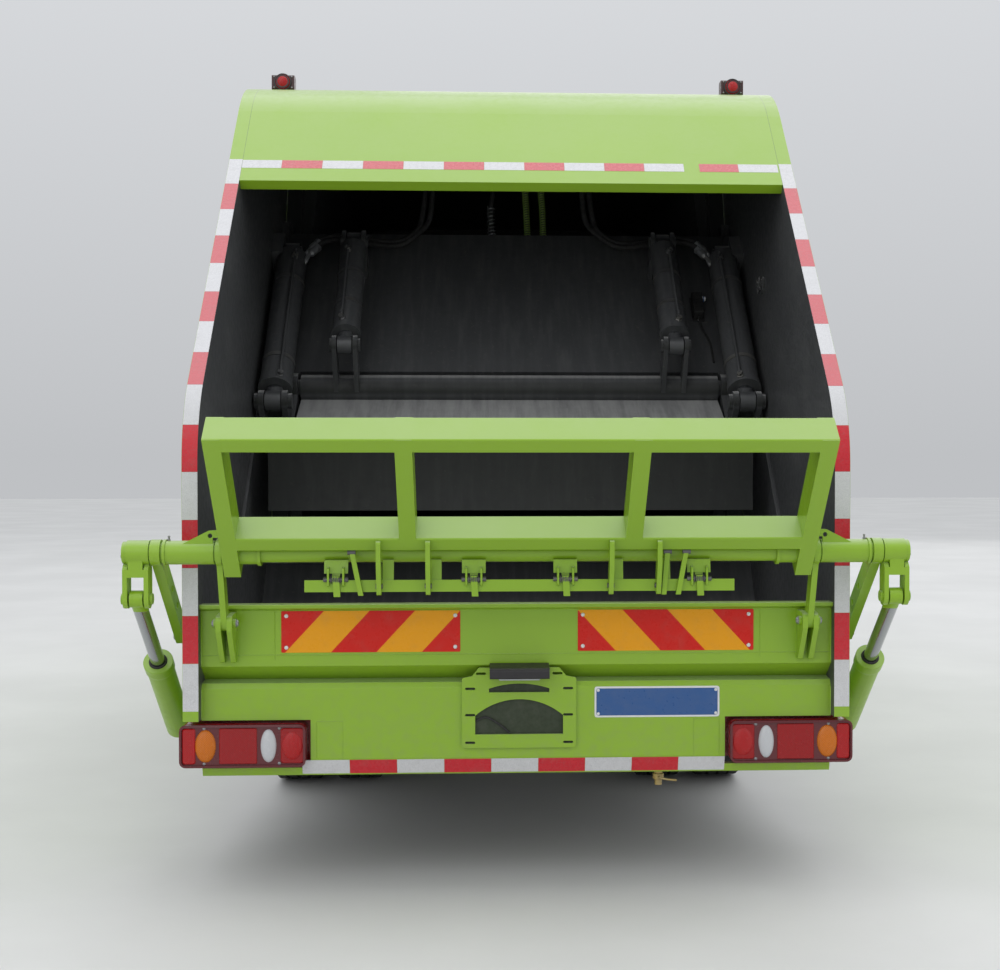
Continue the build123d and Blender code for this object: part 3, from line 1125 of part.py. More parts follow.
def front_bumper():
    """Bumper with returned ends on its brackets, and a step on each side below the door."""
    rear = BUMPER_FACE - 240
    outer = [(-1010, rear, 20), (1010, rear, 20), (1010, BUMPER_FACE, 150), (-1010, BUMPER_FACE, 150)]
    inner = [(-935, rear - 45, 20), (935, rear - 45, 20), (935, BUMPER_BACK, 90), (-935, BUMPER_BACK, 90)]
    bumper = upward(outer, 430, 745) - upward(inner, 400, 800)
    raised = BUMPER_BACK + BUMPER_RISE
    bumper += upward([(-440, raised, 0), (440, raised, 0), (430, BUMPER_FACE - 12, 10),
                      (-430, BUMPER_FACE - 12, 10)], 740, 785)
    bumper -= block((-1100, 1100), (rear - 145, BUMPER_BACK), (680, 900))
    for x in (-343, 343):
        bumper += block((x - 30, x + 30), (RAIL_FRONT, BUMPER_BACK + 10), (570, 680))
    bumper -= along([(-230, 520, 10), (230, 520, 10), (230, 640, 10), (-230, 640, 10)], BUMPER_FACE - 12, BUMPER_FACE + 115)
    step = None
    for z in (450, 690):
        part = block((820, 1000), (rear - 335, rear - 55), (z, z + 30))
        step = part if step is None else step + part
    step += block((820, 840), (rear - 335, rear - 55), (450, 715))
    step += block((RAIL_HALF, 825), (rear - 225, rear - 175), (600, 640))
    keep("front_bumper", bumper, both(step))


# Values worked out from the sizes above
LAMP_IN, LAMP_OUT = 675.0, 1070.0
PLATE_SLOT_X, PLATE_SLOT_Z = 156.0, 652.0
LAMP_FOOT, LAMP_HEAD = 410.0, 545.0
LIFT_X = 1008.0
LIFT_Z = 2410.0
LIFT_BASE = (3350.0, 2330.0)
ROD_START = 90.0        # inner end of a cylinder's rod, from the barrel's end
RAM_PIN_R = 18.0
RAM_EYE_HALF = 20.0
JOURNAL_R = 35.0
BEAM_IN, BEAM_OUT = 852.0, 988.0
RIM_R = 203.0
LEAF_T = 11.0
SPINDLE_R = 28.0
AXLE_END_R = 44.0
FRONT_HUB_X = TRACK_EDGE - TYRE_W / 2
REAR_OUT_X = TRACK_EDGE - TYRE_W / 2
FRONT_SEAT = 410.0
REAR_SEAT = 478.0
SEAT_STEP = 0.0
ENGINE_REAR = BOX_FRONT - 460
BEAM_TOP = 860.0
GUARD_R = 440.0
ARCH_R = 458.0
DOOR_REAR = CAB_BACK + 385
HINGE_Y = DOOR_FRONT + 12.0
HINGE_HEIGHTS = (960.0, 1380.0)
SEAT_FOOT = 1150.0
DASH_HALF = 905.0
EJECTOR_HALF = 850.0


def build():
    tailgate_sides()
    tailgate_roof()
    hopper_floor()
    rear_wall()
    rear_lamps()
    plate_bracket()
    roof_beacons()
    lifter_supports()
    lifter_frame()
    bin_comb()
    lifter_rams()
    packer_carriage()
    slide_cylinders()
    scraper()
    scraper_cylinders()
    lift_cylinders()
    load_box()
    ejector_plate()
    chassis_frame()
    springs()
    front_axle()
    wheels()
    rear_axle()
    engine()
    tanks()
    mudguards()
    side_guards()
    cab()
    cab_inside()
    cab_front()
    front_bumper()


os.makedirs("parts", exist_ok=True)
build()
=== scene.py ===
"""Finish and small detail of the rear-loading compactor truck, round its solids."""
import json
from math import cos, pi, radians, sin, tan

import bmesh
import bpy
import numpy as np
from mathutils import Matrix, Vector


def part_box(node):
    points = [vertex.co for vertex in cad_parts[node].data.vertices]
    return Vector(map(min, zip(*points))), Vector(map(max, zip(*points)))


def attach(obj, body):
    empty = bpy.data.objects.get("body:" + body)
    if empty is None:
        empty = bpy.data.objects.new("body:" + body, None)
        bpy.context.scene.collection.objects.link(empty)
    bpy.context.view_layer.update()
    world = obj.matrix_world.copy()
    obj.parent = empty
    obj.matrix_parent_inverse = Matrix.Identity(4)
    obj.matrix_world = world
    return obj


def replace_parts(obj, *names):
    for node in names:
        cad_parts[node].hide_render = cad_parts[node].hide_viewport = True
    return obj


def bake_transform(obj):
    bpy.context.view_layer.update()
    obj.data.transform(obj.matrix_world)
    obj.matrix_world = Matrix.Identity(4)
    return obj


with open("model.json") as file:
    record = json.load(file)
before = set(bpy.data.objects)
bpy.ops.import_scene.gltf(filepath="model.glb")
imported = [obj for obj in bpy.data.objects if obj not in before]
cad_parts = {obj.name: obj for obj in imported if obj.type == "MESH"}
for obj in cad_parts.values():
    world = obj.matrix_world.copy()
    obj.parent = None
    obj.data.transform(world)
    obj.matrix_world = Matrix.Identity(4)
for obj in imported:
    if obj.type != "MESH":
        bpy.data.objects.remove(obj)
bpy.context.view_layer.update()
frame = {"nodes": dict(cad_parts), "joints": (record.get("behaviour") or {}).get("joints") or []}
NODES = frame["nodes"]
JOINTS = {joint["name"]: joint for joint in frame["joints"]}

# Places read from the solids, in metres
HALF_WIDTH = 1.0535             # outer faces of the tailgate's side walls
INNER_HALF = 1.0035             # their inner faces
REAR_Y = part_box("tailgate_sides")[0].y      # rear face of the hopper
LIFTER_AXIS = Vector(JOINTS["lifter_tilt"]["pos_m"])
SLOPE = radians(43.15)          # lean of the loading opening from the vertical
KNEE_Z = 1.516                  # height where the rear edge starts to lean
KNEE_R = 0.4                    # radius of that bend
ROOF_Z = 2.88                   # top of the tailgate
WALL_Y = 0.042                  # face of the upper rear wall, from the hopper's rear face
LOWER_Y = 0.045                 # face of the lower panel
LOWER_BEND_Z = 0.432            # below this the lower panel slants forward to its foot
FOOT_Y, FOOT_Z = 0.064, 0.376

# Tapes, boards, sign and lamps
TAPE_LENGTH = 0.15
TAPE_WIDTH = 0.05
TAPE_TRIM = 0.0015              # narrower than the edge that it lies on
TAPE_SEAM = 0.0006
FILM = 0.0006                   # a film's thickness
SIDE_TAPES, TOP_TAPES, FOOT_TAPES = 15, 10, 9
SIDE_TAPE_FOOT = 0.592
TOP_TAPE_Z = 2.474
TOP_TAPE_TRIM = 0.0045
LOST_TAPE = 0.058               # where a piece has come off
FOOT_TAPE_X = -0.689
BOARD_X, BOARD_Z = 0.4695, 0.836
BOARD_WIDTH, BOARD_HEIGHT, BOARD_THICK = 0.565, 0.132, 0.0015
BAND = 0.1437                   # a slanted band, measured along the board
BAND_START = 0.012
BAND_LEAN = 0.93
SIGN_X, SIGN_Z = 0.442, 0.6055
SIGN_WIDTH, SIGN_HEIGHT, SIGN_THICK = 0.402, 0.099, 0.0015
LAMP_OUTER, LAMP_LENGTH, LAMP_HEIGHT = 1.070, 0.395, 0.135
LENS_Y, LAMP_Z = 0.030, 0.4775

# Joint face between tailgate and load box, from its foot to its head
JOINT_FOOT, JOINT_HEAD = (1.560, 0.880), (2.330, ROOF_Z)
JOINT_LEAN = (JOINT_HEAD[0] - JOINT_FOOT[0]) / (JOINT_HEAD[1] - JOINT_FOOT[1])

# Materials


class Shader:
    """A node material built step by step, on object coordinates."""

    def __init__(self, name, colour, roughness=0.5, metallic=0.0, coat=0.0, alpha=1.0, transmission=0.0,
                 gloss=0.5):
        self.material = bpy.data.materials.new(name)
        self.material.use_nodes = True
        self.tree = self.material.node_tree
        self.main = self.tree.nodes["Principled BSDF"]
        self.main.inputs["Base Color"].default_value = (*colour, 1)
        self.main.inputs["Roughness"].default_value = roughness
        self.main.inputs["Metallic"].default_value = metallic
        self.main.inputs["Coat Weight"].default_value = coat
        self.main.inputs["Specular IOR Level"].default_value = gloss
        self.main.inputs["Alpha"].default_value = alpha
        self.main.inputs["Transmission Weight"].default_value = transmission
        spot = self.tree.nodes.new("ShaderNodeTexCoord")
        self.place = spot.outputs["Object"]
        self.facing = spot.outputs["Normal"]

    def node(self, kind, **values):
        """A new node with its settings."""
        made = self.tree.nodes.new(kind)
        for key, value in values.items():
            setattr(made, key, value)
        return made

    def link(self, source, target):
        """Join an output to an input."""
        self.tree.links.new(source, target)

    def set(self, target, value):
        """Give an input a number, or join it to an output."""
        if isinstance(value, bpy.types.NodeSocket):
            self.link(value, target)
        else:
            target.default_value = value

    def math(self, operation, a, b=None):
        """One sum of one or two values."""
        made = self.node("ShaderNodeMath", operation=operation)
        self.set(made.inputs[0], a)
        if b is not None:
            self.set(made.inputs[1], b)
        return made.outputs[0]

    def axis(self, index):
        """One coordinate of the place, in metres."""
        return self.node_out("ShaderNodeSeparateXYZ", self.place, index)

    def faces(self, index):
        """One part of the surface's own direction, from -1 to 1."""
        return self.node_out("ShaderNodeSeparateXYZ", self.facing, index)

    def both(self, *masks):
        """1 where every mask is 1."""
        made = masks[0]
        for mask in masks[1:]:
            made = self.math("MULTIPLY", made, mask)
        return made

    def below(self, value, limit, soft=0.0008):
        """1 below the limit, 0 above it."""
        return self.ramp(value, limit - soft, limit + soft, 1.0, 0.0)

    def above(self, value, limit, soft=0.0008):
        """1 above the limit, 0 below it."""
        return self.ramp(value, limit - soft, limit + soft, 0.0, 1.0)

    def node_out(self, kind, source, index):
        """One output of a new node that reads source."""
        made = self.node(kind)
        self.link(source, made.inputs[0])
        return made.outputs[index]

    def noise(self, scale, detail=4.0, rough=0.55, stretch=None):
        """Noise over the place; stretch scales it along each axis."""
        source = self.place
        if stretch:
            mapping = self.node("ShaderNodeMapping")
            self.link(source, mapping.inputs["Vector"])
            mapping.inputs["Scale"].default_value = stretch
            source = mapping.outputs["Vector"]
        made = self.node("ShaderNodeTexNoise")
        self.link(source, made.inputs["Vector"])
        made.inputs["Scale"].default_value = scale
        made.inputs["Detail"].default_value = detail
        made.inputs["Roughness"].default_value = rough
        return made.outputs["Fac"]

    def ramp(self, value, low, high, start=0.0, end=1.0):
        """Smooth step of value between low and high, from start to end."""
        made = self.node("ShaderNodeMapRange", interpolation_type="SMOOTHSTEP")
        self.set(made.inputs["Value"], value)
        made.inputs["From Min"].default_value = low
        made.inputs["From Max"].default_value = high
        made.inputs["To Min"].default_value = start
        made.inputs["To Max"].default_value = end
        return made.outputs["Result"]

    def mix(self, share, first, second):
        """A colour between two, by share."""
        made = self.node("ShaderNodeMix", data_type="RGBA")
        self.set(made.inputs[0], share)
        for socket, value in ((made.inputs[6], first), (made.inputs[7], second)):
            self.set(socket, value if isinstance(value, bpy.types.NodeSocket) else (*value, 1))
        return made.outputs[2]

    def paint(self, colour):
        """Join a colour to the surface."""
        self.link(colour, self.main.inputs["Base Color"])

    def rough(self, value):
        """Join a value to the surface's roughness."""
        self.link(value, self.main.inputs["Roughness"])

    def bump(self, height, distance, strength=1.0):
        """Raise the surface by height times distance, in its shading."""
        made = self.node("ShaderNodeBump")
        made.inputs["Strength"].default_value = strength
        made.inputs["Distance"].default_value = distance
        self.link(height, made.inputs["Height"])
        self.link(made.outputs["Normal"], self.main.inputs["Normal"])

    def grain(self, scale, detail, low, high, top=0.8):
        """Roughness that wanders between low and high."""
        self.rough(self.ramp(self.noise(scale, detail), 0.3, top, low, high))

    def cells(self, scale):
        """1 within small sealed cells, 0 on the seams between them."""
        cell = self.node("ShaderNodeTexVoronoi", feature="DISTANCE_TO_EDGE")
        self.link(self.place, cell.inputs["Vector"])
        cell.inputs["Scale"].default_value = scale
        return self.ramp(cell.outputs["Distance"], 0.02, 0.10)


LIME = (0.235, 0.410, 0.014)
LIME_PALE = (0.265, 0.440, 0.026)
TOP_DUST_AND_SKY_LIGHT = (0.47, 0.48, 0.44)   # the thin pale film on what faces up: partly dust, partly painted sky light
PRIMER = (0.22, 0.23, 0.21)
HOPPER_GREY = (0.058, 0.060, 0.063)
DUST = (0.21, 0.20, 0.17)
BLACK = (0.012, 0.012, 0.013)
RUBBED_GREY = (0.112, 0.114, 0.114)
# painted shade on the hopper's faces that look to the rear
SHADED_GREY = (0.010, 0.011, 0.009)
# dust and painted sky light on the hopper's faces that look up
TOP_DUST_AND_SKY_GREY = (0.34, 0.34, 0.335)
ROD_METAL = (0.42, 0.43, 0.45)
TYRE_BLACK = (0.018, 0.018, 0.019)
ROAD_DUST = (0.10, 0.095, 0.085)
GLASS_TINT = (0.42, 0.50, 0.48)
CLOTH_GREY, THREAD_DARK, THREAD_PALE = (0.045, 0.05, 0.06), (0.035, 0.038, 0.045), (0.09, 0.095, 0.11)
# painted sky reflection on the tapes' faces that look up
SKY_SHEEN_COLOUR = (0.62, 0.62, 0.66)
BAND_RED, BAND_YELLOW = (0.60, 0.012, 0.006), (0.78, 0.33, 0.006)
HOOD_BLACK = (0.012, 0.010, 0.012)
PRISM_PITCH = 0.0055            # between two prisms of a lens


def lime_paint(name="lime_paint", inside=None, dark=None):
    """Two-pack paint with orange peel: a pale film on what faces up, which is dust and painted sky light,
    faint dirt and chips low down.

    inside is a mask that turns the paint to hopper grey, or to the colour dark.
    """
    shader = Shader(name, LIME, 0.34, coat=0.15)
    cloud = shader.noise(1.3, 3)
    base = shader.mix(shader.ramp(cloud, 0.3, 0.8, 0.0, 0.5), LIME, LIME_PALE)
    fine = shader.noise(38, 5)
    # faces that look up are paled: dust and painted sky light
    upward = shader.ramp(shader.faces(2), 0.45, 1.0, 0.0, 0.36)
    dust_and_sky_light_on_top = shader.both(upward, shader.ramp(shader.noise(4, 5), 0.2, 0.7, 0.7, 1.0))
    base = shader.mix(dust_and_sky_light_on_top, base, TOP_DUST_AND_SKY_LIGHT)
    low = shader.ramp(shader.axis(2), 0.35, 0.95, 0.16, 0.0)
    base = shader.mix(shader.math("MULTIPLY", low, shader.ramp(fine, 0.35, 0.75)), base, DUST)
    spots = shader.ramp(shader.noise(95, 7, 0.7), 0.735, 0.75, 0.0, 0.6)
    chips = shader.both(spots, shader.ramp(shader.axis(2), 0.7, 1.6, 1.0, 0.15))
    base = shader.mix(chips, base, PRIMER)
    rough = shader.ramp(fine, 0.3, 0.8, 0.30, 0.46)
    if inside:
        mask = inside(shader)
        base = shader.mix(mask, base, dark or hopper_colour(shader))
        rough = shader.math("ADD", rough, shader.math("MULTIPLY", mask, 0.14))
    shader.paint(base)
    shader.rough(rough)
    shader.bump(shader.noise(420, 2), 0.0003, 0.3)
    return shader.material


def hopper_colour(shader):
    """Dark hopper paint: rubbed pale in long streaks, pale on top from dust and painted sky light, and
    darkest, as painted shade, where it faces the rear.
    """
    streak = shader.noise(5, 6, 0.6, stretch=(6, 0.7, 0.7))
    worn = shader.mix(shader.ramp(streak, 0.40, 0.8, 0.0, 0.5), HOPPER_GREY, RUBBED_GREY)
    dusty = shader.mix(shader.ramp(shader.noise(60, 4), 0.6, 0.75, 0.0, 0.2), worn, DUST)
    # painted shade: faces that look to the rear are darkened
    rear = shader.mix(shader.ramp(shader.faces(1), -0.97, -0.80, 0.72, 0.0), dusty, SHADED_GREY)
    # faces that look up: dust and painted sky light, uneven along the streaks
    dust_and_sky_light_on_top = shader.both(shader.ramp(shader.faces(2), 0.66, 0.90, 0.0, 0.85),
                        shader.ramp(streak, 0.2, 0.7, 0.5, 1.0))
    return shader.mix(dust_and_sky_light_on_top, rear, TOP_DUST_AND_SKY_GREY)


def past_joint(shader, off):
    """1 where a point lies less than off beyond the joint face between tailgate and load box."""
    forward = shader.math("SUBTRACT", shader.axis(1), REAR_Y + JOINT_FOOT[0] - JOINT_LEAN * JOINT_FOOT[1])
    leaning = shader.math("MULTIPLY", shader.axis(2), JOINT_LEAN)
    return shader.below(shader.math("SUBTRACT", forward, leaning), off)


def wall_inside(shader):
    """1 on the side walls' inner faces and in the guide grooves cut into them, 0 outside."""
    across = shader.math("ABSOLUTE", shader.axis(0))
    forward = shader.math("MULTIPLY", shader.math("SUBTRACT", shader.axis(1), REAR_Y), cos(SLOPE))
    rise = shader.math("MULTIPLY", shader.math("SUBTRACT", shader.axis(2), KNEE_Z), sin(SLOPE))
    depth = shader.math("SUBTRACT", forward, rise)
    groove = shader.both(shader.below(across, 1.0505), shader.above(depth, 0.10),
                         shader.below(shader.axis(2), 2.86), shader.above(shader.axis(2), 0.97),
                         past_joint(shader, -0.03))
    return shader.math("MAXIMUM", shader.below(across, INNER_HALF + 0.001, 0.0005), groove)


def roof_inside(shader):
    """1 on the faces of the roof panel that look down into the hopper."""
    return shader.both(shader.below(shader.faces(2), -0.2, 0.05), shader.above(shader.faces(1), -0.3, 0.05))


def box_inside(shader):
    """1 within the load box's walls, floor and roof."""
    across = shader.math("ABSOLUTE", shader.axis(0))
    within = shader.both(shader.below(across, 0.9065),
                         shader.below(shader.math("ADD", across, shader.axis(2)), 3.615),
                         shader.below(shader.axis(2), 2.8415), shader.above(shader.axis(2), 0.955),
                         shader.below(shader.axis(1), REAR_Y + 4.815))
    end = shader.both(past_joint(shader, 0.0125), shader.above(shader.axis(2), 0.93),
                      shader.below(shader.axis(2), 2.872))
    return shader.math("MAXIMUM", within, end)


def bracket_hood(shader):
    """1 on the black hood that stands out from the plate carrier."""
    return shader.below(shader.axis(1), REAR_Y + 0.0335, 0.0005)


def hopper_paint():
    """Worn dark paint of the hopper and the packer."""
    shader = Shader("hopper_paint", HOPPER_GREY, 0.55, gloss=0.28)
    shader.paint(hopper_colour(shader))
    shader.grain(25, 4, 0.42, 0.66)
    shader.bump(shader.noise(260, 3), 0.0005, 0.4)
    return shader.material


def black_paint():
    """Frame paint under patches of dust."""
    shader = Shader("black_paint", BLACK, 0.45)
    dusty = shader.ramp(shader.noise(11, 7, 0.7), 0.35, 0.9, 0.0, 0.30)
    shader.paint(shader.mix(dusty, BLACK, DUST))
    shader.grain(30, 4, 0.35, 0.65)
    shader.bump(shader.noise(300, 3), 0.0005, 0.4)
    return shader.material


def piston_chrome(name="piston_chrome", polish=0.10):
    """Bright metal, its polish streaked along its length."""
    shader = Shader(name, (0.62, 0.63, 0.65), 0.16, metallic=1.0)
    shader.rough(shader.ramp(shader.noise(80, 3, stretch=(1, 8, 8)), 0.3, 0.8, polish, 2.8 * polish))
    shader.bump(shader.noise(600, 2), 0.0001, 0.2)
    return shader.material


def rod_chrome(name, eye, colour):
    """Polished rod whose eye, where the mask is 1, is painted."""
    shader = Shader(name, ROD_METAL, 0.16, metallic=1.0)
    mask = eye(shader)
    shader.paint(shader.mix(mask, ROD_METAL, colour))
    shader.link(shader.math("SUBTRACT", 1.0, mask), shader.main.inputs["Metallic"])
    polish = shader.ramp(shader.noise(80, 3, stretch=(1, 8, 8)), 0.3, 0.8, 0.12, 0.28)
    shader.rough(shader.math("ADD", polish, shader.math("MULTIPLY", mask, 0.2)))
    shader.bump(shader.noise(600, 2), 0.0001, 0.2)
    return shader.material


def crank_eye(shader):
    """1 on the upper eye of the lifter's rams."""
    return shader.above(shader.axis(2), 0.915)


def packer_eye(shader):
    """1 on the lower eyes of the packer's cylinders: the outer pair's hang lower."""
    outer = shader.above(shader.math("ABSOLUTE", shader.axis(0)), 0.8)
    limit = shader.math("SUBTRACT", 1.885, shader.math("MULTIPLY", outer, 0.225))
    return shader.math("LESS_THAN", shader.axis(2), limit)


def galvanised(name="galvanised", colour=(0.30, 0.31, 0.32)):
    """Dull cloudy metal under some dust."""
    shader = Shader(name, colour, 0.45, metallic=0.6)
    shader.paint(shader.mix(shader.ramp(shader.noise(14, 5), 0.4, 0.75, 0.0, 0.6), colour, DUST))
    shader.grain(70, 3, 0.35, 0.6, 0.7)
    shader.bump(shader.noise(200, 3), 0.0004, 0.4)
    return shader.material


def rubber():
    """Tyre rubber with road dust in patches."""
    shader = Shader("tyre_rubber", TYRE_BLACK, 0.78)
    dusty = shader.ramp(shader.noise(7, 6), 0.4, 0.8, 0.0, 0.5)
    shader.paint(shader.mix(dusty, TYRE_BLACK, ROAD_DUST))
    shader.grain(40, 4, 0.68, 0.92)
    shader.bump(shader.noise(500, 3), 0.0006, 0.5)
    return shader.material


def plastic(name, colour, roughness=0.45):
    """Moulded or rolled-on finish with a fine grain and a little dust."""
    shader = Shader(name, colour, roughness)
    shader.paint(shader.mix(shader.ramp(shader.noise(26, 7, 0.7), 0.35, 0.9, 0.0, 0.16), colour, DUST))
    shader.grain(90, 3, roughness - 0.08, roughness + 0.12)
    shader.bump(shader.noise(900, 2), 0.0003, 0.4)
    return shader.material


def lens(name, colour):
    """Smooth lamp lens."""
    shader = Shader(name, colour, 0.2, coat=0.25)
    shader.grain(70, 3, 0.2, 0.3)
    shader.bump(shader.noise(330, 1), 0.0004, 0.5)
    return shader.material


def window_glass():
    """Greenish glass with a faint film of dirt."""
    shader = Shader("window_glass", GLASS_TINT, 0.05, transmission=0.9, alpha=0.55)
    shader.rough(shader.ramp(shader.noise(20, 4), 0.4, 0.8, 0.03, 0.12))
    return shader.material


def fabric():
    """Woven seat cover."""
    shader = Shader("seat_fabric", CLOTH_GREY, 0.85)
    weave = shader.math("MULTIPLY", shader.noise(700, 1), shader.noise(240, 2))
    shader.paint(shader.mix(shader.ramp(weave, 0.15, 0.4), THREAD_DARK, THREAD_PALE))
    shader.main.inputs["Sheen Weight"].default_value = 0.3
    shader.bump(weave, 0.001, 0.6)
    return shader.material


def retro_tape(name, colour):
    """Reflective film: small sealed cells under a glossy skin, a little dust, and a painted sky sheen on
    faces that look up.
    """
    shader = Shader(name, colour, 0.36, coat=0.1, gloss=0.3)
    seam = shader.cells(190)
    pale = tuple(min(1, 0.82 * c + 0.03) for c in colour)
    dusty = shader.ramp(shader.noise(25, 5), 0.5, 0.8, 0.0, 0.12)
    # painted sky reflection: faces that look up are paled towards the sheen colour
    sky_sheen_share = shader.ramp(shader.faces(2), 0.2, 0.8, 0.0, 0.22)
    skin = shader.mix(sky_sheen_share, shader.mix(seam, pale, colour), SKY_SHEEN_COLOUR)
    shader.paint(shader.mix(dusty, skin, DUST))
    shader.grain(60, 3, 0.2, 0.4)
    shader.bump(seam, 0.0002, 0.5)
    return shader.material


def banded_board():
    """Red and yellow bands that lean inwards towards the top, on reflective film."""
    shader = Shader("banded_board", BAND_RED, 0.40, coat=0.05, gloss=0.25)
    inwards = shader.math("SUBTRACT", BOARD_X + BOARD_WIDTH / 2, shader.math("ABSOLUTE", shader.axis(0)))
    height = shader.math("SUBTRACT", shader.axis(2), BOARD_Z - BOARD_HEIGHT / 2)
    slanted = shader.math("SUBTRACT", inwards, shader.math("MULTIPLY", height, BAND_LEAN))
    band = shader.math("DIVIDE", shader.math("SUBTRACT", slanted, BAND_START), BAND)
    is_red = shader.math("GREATER_THAN", shader.math("FLOORED_MODULO", band, 2.0), 1.0)
    seam = shader.cells(240)
    dusty = shader.ramp(shader.noise(22, 5), 0.5, 0.8, 0.0, 0.10)
    shader.paint(shader.mix(dusty, shader.mix(is_red, BAND_YELLOW, BAND_RED), DUST))
    shader.grain(60, 3, 0.25, 0.42)
    shader.bump(seam, 0.00015, 0.4)
    return shader.material


def ribbed_lens(name, colour):
    """Lens with fine upright prisms behind its face."""
    shader = Shader(name, colour, 0.2, coat=0.15, gloss=0.35)
    across = shader.math("MULTIPLY", shader.axis(0), 2 * pi / PRISM_PITCH)
    upwards = shader.math("MULTIPLY", shader.axis(2), 2 * pi / PRISM_PITCH)
    prism = shader.math("MULTIPLY", shader.math("SINE", across), shader.math("SINE", upwards))
    dark = tuple(0.45 * c for c in colour)
    shader.paint(shader.mix(shader.ramp(prism, -1, 1), dark, colour))
    shader.grain(70, 3, 0.18, 0.32)
    shader.bump(prism, 0.0005, 0.5)
    return shader.material


LIME_OUT = lime_paint()
WALL_PAINT = lime_paint("wall_paint", wall_inside)
ROOF_PAINT = lime_paint("roof_paint", roof_inside)
BOX_PAINT = lime_paint("box_paint", box_inside)
BRACKET_PAINT = lime_paint("bracket_paint", bracket_hood, HOOD_BLACK)
LIME_DULL = plastic("guard_green", (0.21, 0.32, 0.06), 0.5)
# painted shade behind the plate carrier's windows, and the dark seams of the front's lid
SHADE_AND_SEAM_DARK = plastic("shade_and_seam_dark", (0.018, 0.030, 0.010), 0.6)
MIRROR = piston_chrome("mirror_face", 0.03)
HOPPER = hopper_paint()
FRAME_BLACK = black_paint()
CHROME = piston_chrome()
ZINC = galvanised()
RIM_SILVER = galvanised("rim_silver", (0.42, 0.43, 0.44))
TYRE = rubber()
TRIM = plastic("trim_black", (0.022, 0.022, 0.024))
LAMP_RED = lens("lamp_red", (0.34, 0.008, 0.010))
LAMP_DARK = lens("lamp_frame", (0.10, 0.006, 0.010))
LAMP_BRIGHT = ribbed_lens("lamp_bright", (0.52, 0.006, 0.008))
LAMP_RIBBED = ribbed_lens("lamp_ribbed", (0.40, 0.004, 0.006))
LAMP_AMBER = ribbed_lens("lamp_amber", (0.74, 0.19, 0.004))
TAPE_RED = retro_tape("tape_red", (0.56, 0.014, 0.026))
TAPE_WHITE = retro_tape("tape_white", (0.60, 0.60, 0.61))
BOARD_BANDS = banded_board()
SIGN_BLUE = plastic("sign_blue", (0.020, 0.085, 0.26), 0.35)
WHITE_PLASTIC = plastic("white_plastic", (0.70, 0.70, 0.70), 0.4)
RUBBER_BLACK = plastic("rubber_black", (0.014, 0.014, 0.015), 0.7)
BRASS = galvanised("brass", (0.42, 0.30, 0.10))
ZINC_DARK = galvanised("zinc_dark", (0.12, 0.12, 0.125))
LAMP_CLEAR = lens("lamp_clear", (0.50, 0.51, 0.53))
HEAD_LENS = ribbed_lens("head_lens", (0.36, 0.37, 0.39))
RAM_ROD = rod_chrome("ram_rod", crank_eye, LIME)
PACKER_ROD = rod_chrome("packer_rod", packer_eye, HOPPER_GREY)
BEACON_BODY = plastic("beacon_body", (0.045, 0.012, 0.014), 0.35)
GLASS = window_glass()
FABRIC = fabric()

FINISH = {"tailgate_sides": WALL_PAINT, "tailgate_roof": ROOF_PAINT, "rear_wall": LIME_OUT,
          "lifter_supports": LIME_OUT, "lifter_frame": LIME_OUT, "bin_comb": LIME_OUT,
          "plate_bracket": BRACKET_PAINT, "lifter_ram_barrels": LIME_OUT, "load_box": BOX_PAINT,
          "lift_barrels": LIME_OUT, "cab_shell": LIME_OUT, "door_left": LIME_OUT, "door_right": LIME_OUT,
          "hopper_floor": HOPPER, "packer_carriage": HOPPER, "scraper": HOPPER, "scraper_barrels": HOPPER,
          "slide_barrels": HOPPER, "ejector_plate": HOPPER, "lifter_ram_rods": RAM_ROD, "lift_rods": CHROME,
          "scraper_rods": PACKER_ROD, "slide_rods": PACKER_ROD, "engine_block": ZINC, "fuel_tank": ZINC,
          "silencer": ZINC, "rear_lamps": LAMP_RED, "roof_beacons": BEACON_BODY, "headlamps": HEAD_LENS,
          "mudguards": TRIM, "front_bumper": TRIM, "front_grille": TRIM, "mirrors": TRIM, "dashboard": TRIM,
          "seat_bases": TRIM, "seats": FABRIC, "cab_glass": GLASS, "door_glass_left": GLASS,
          "door_glass_right": GLASS}


def dress_nodes():
    """Gives every solid its finish."""
    for name, obj in NODES.items():
        if "tyre" in name:
            finish = TYRE
        elif "rim" in name:
            finish = RIM_SILVER
        else:
            finish = FINISH.get(name, FRAME_BLACK)
        obj.data.materials.clear()
        obj.data.materials.append(finish)


# Shapes


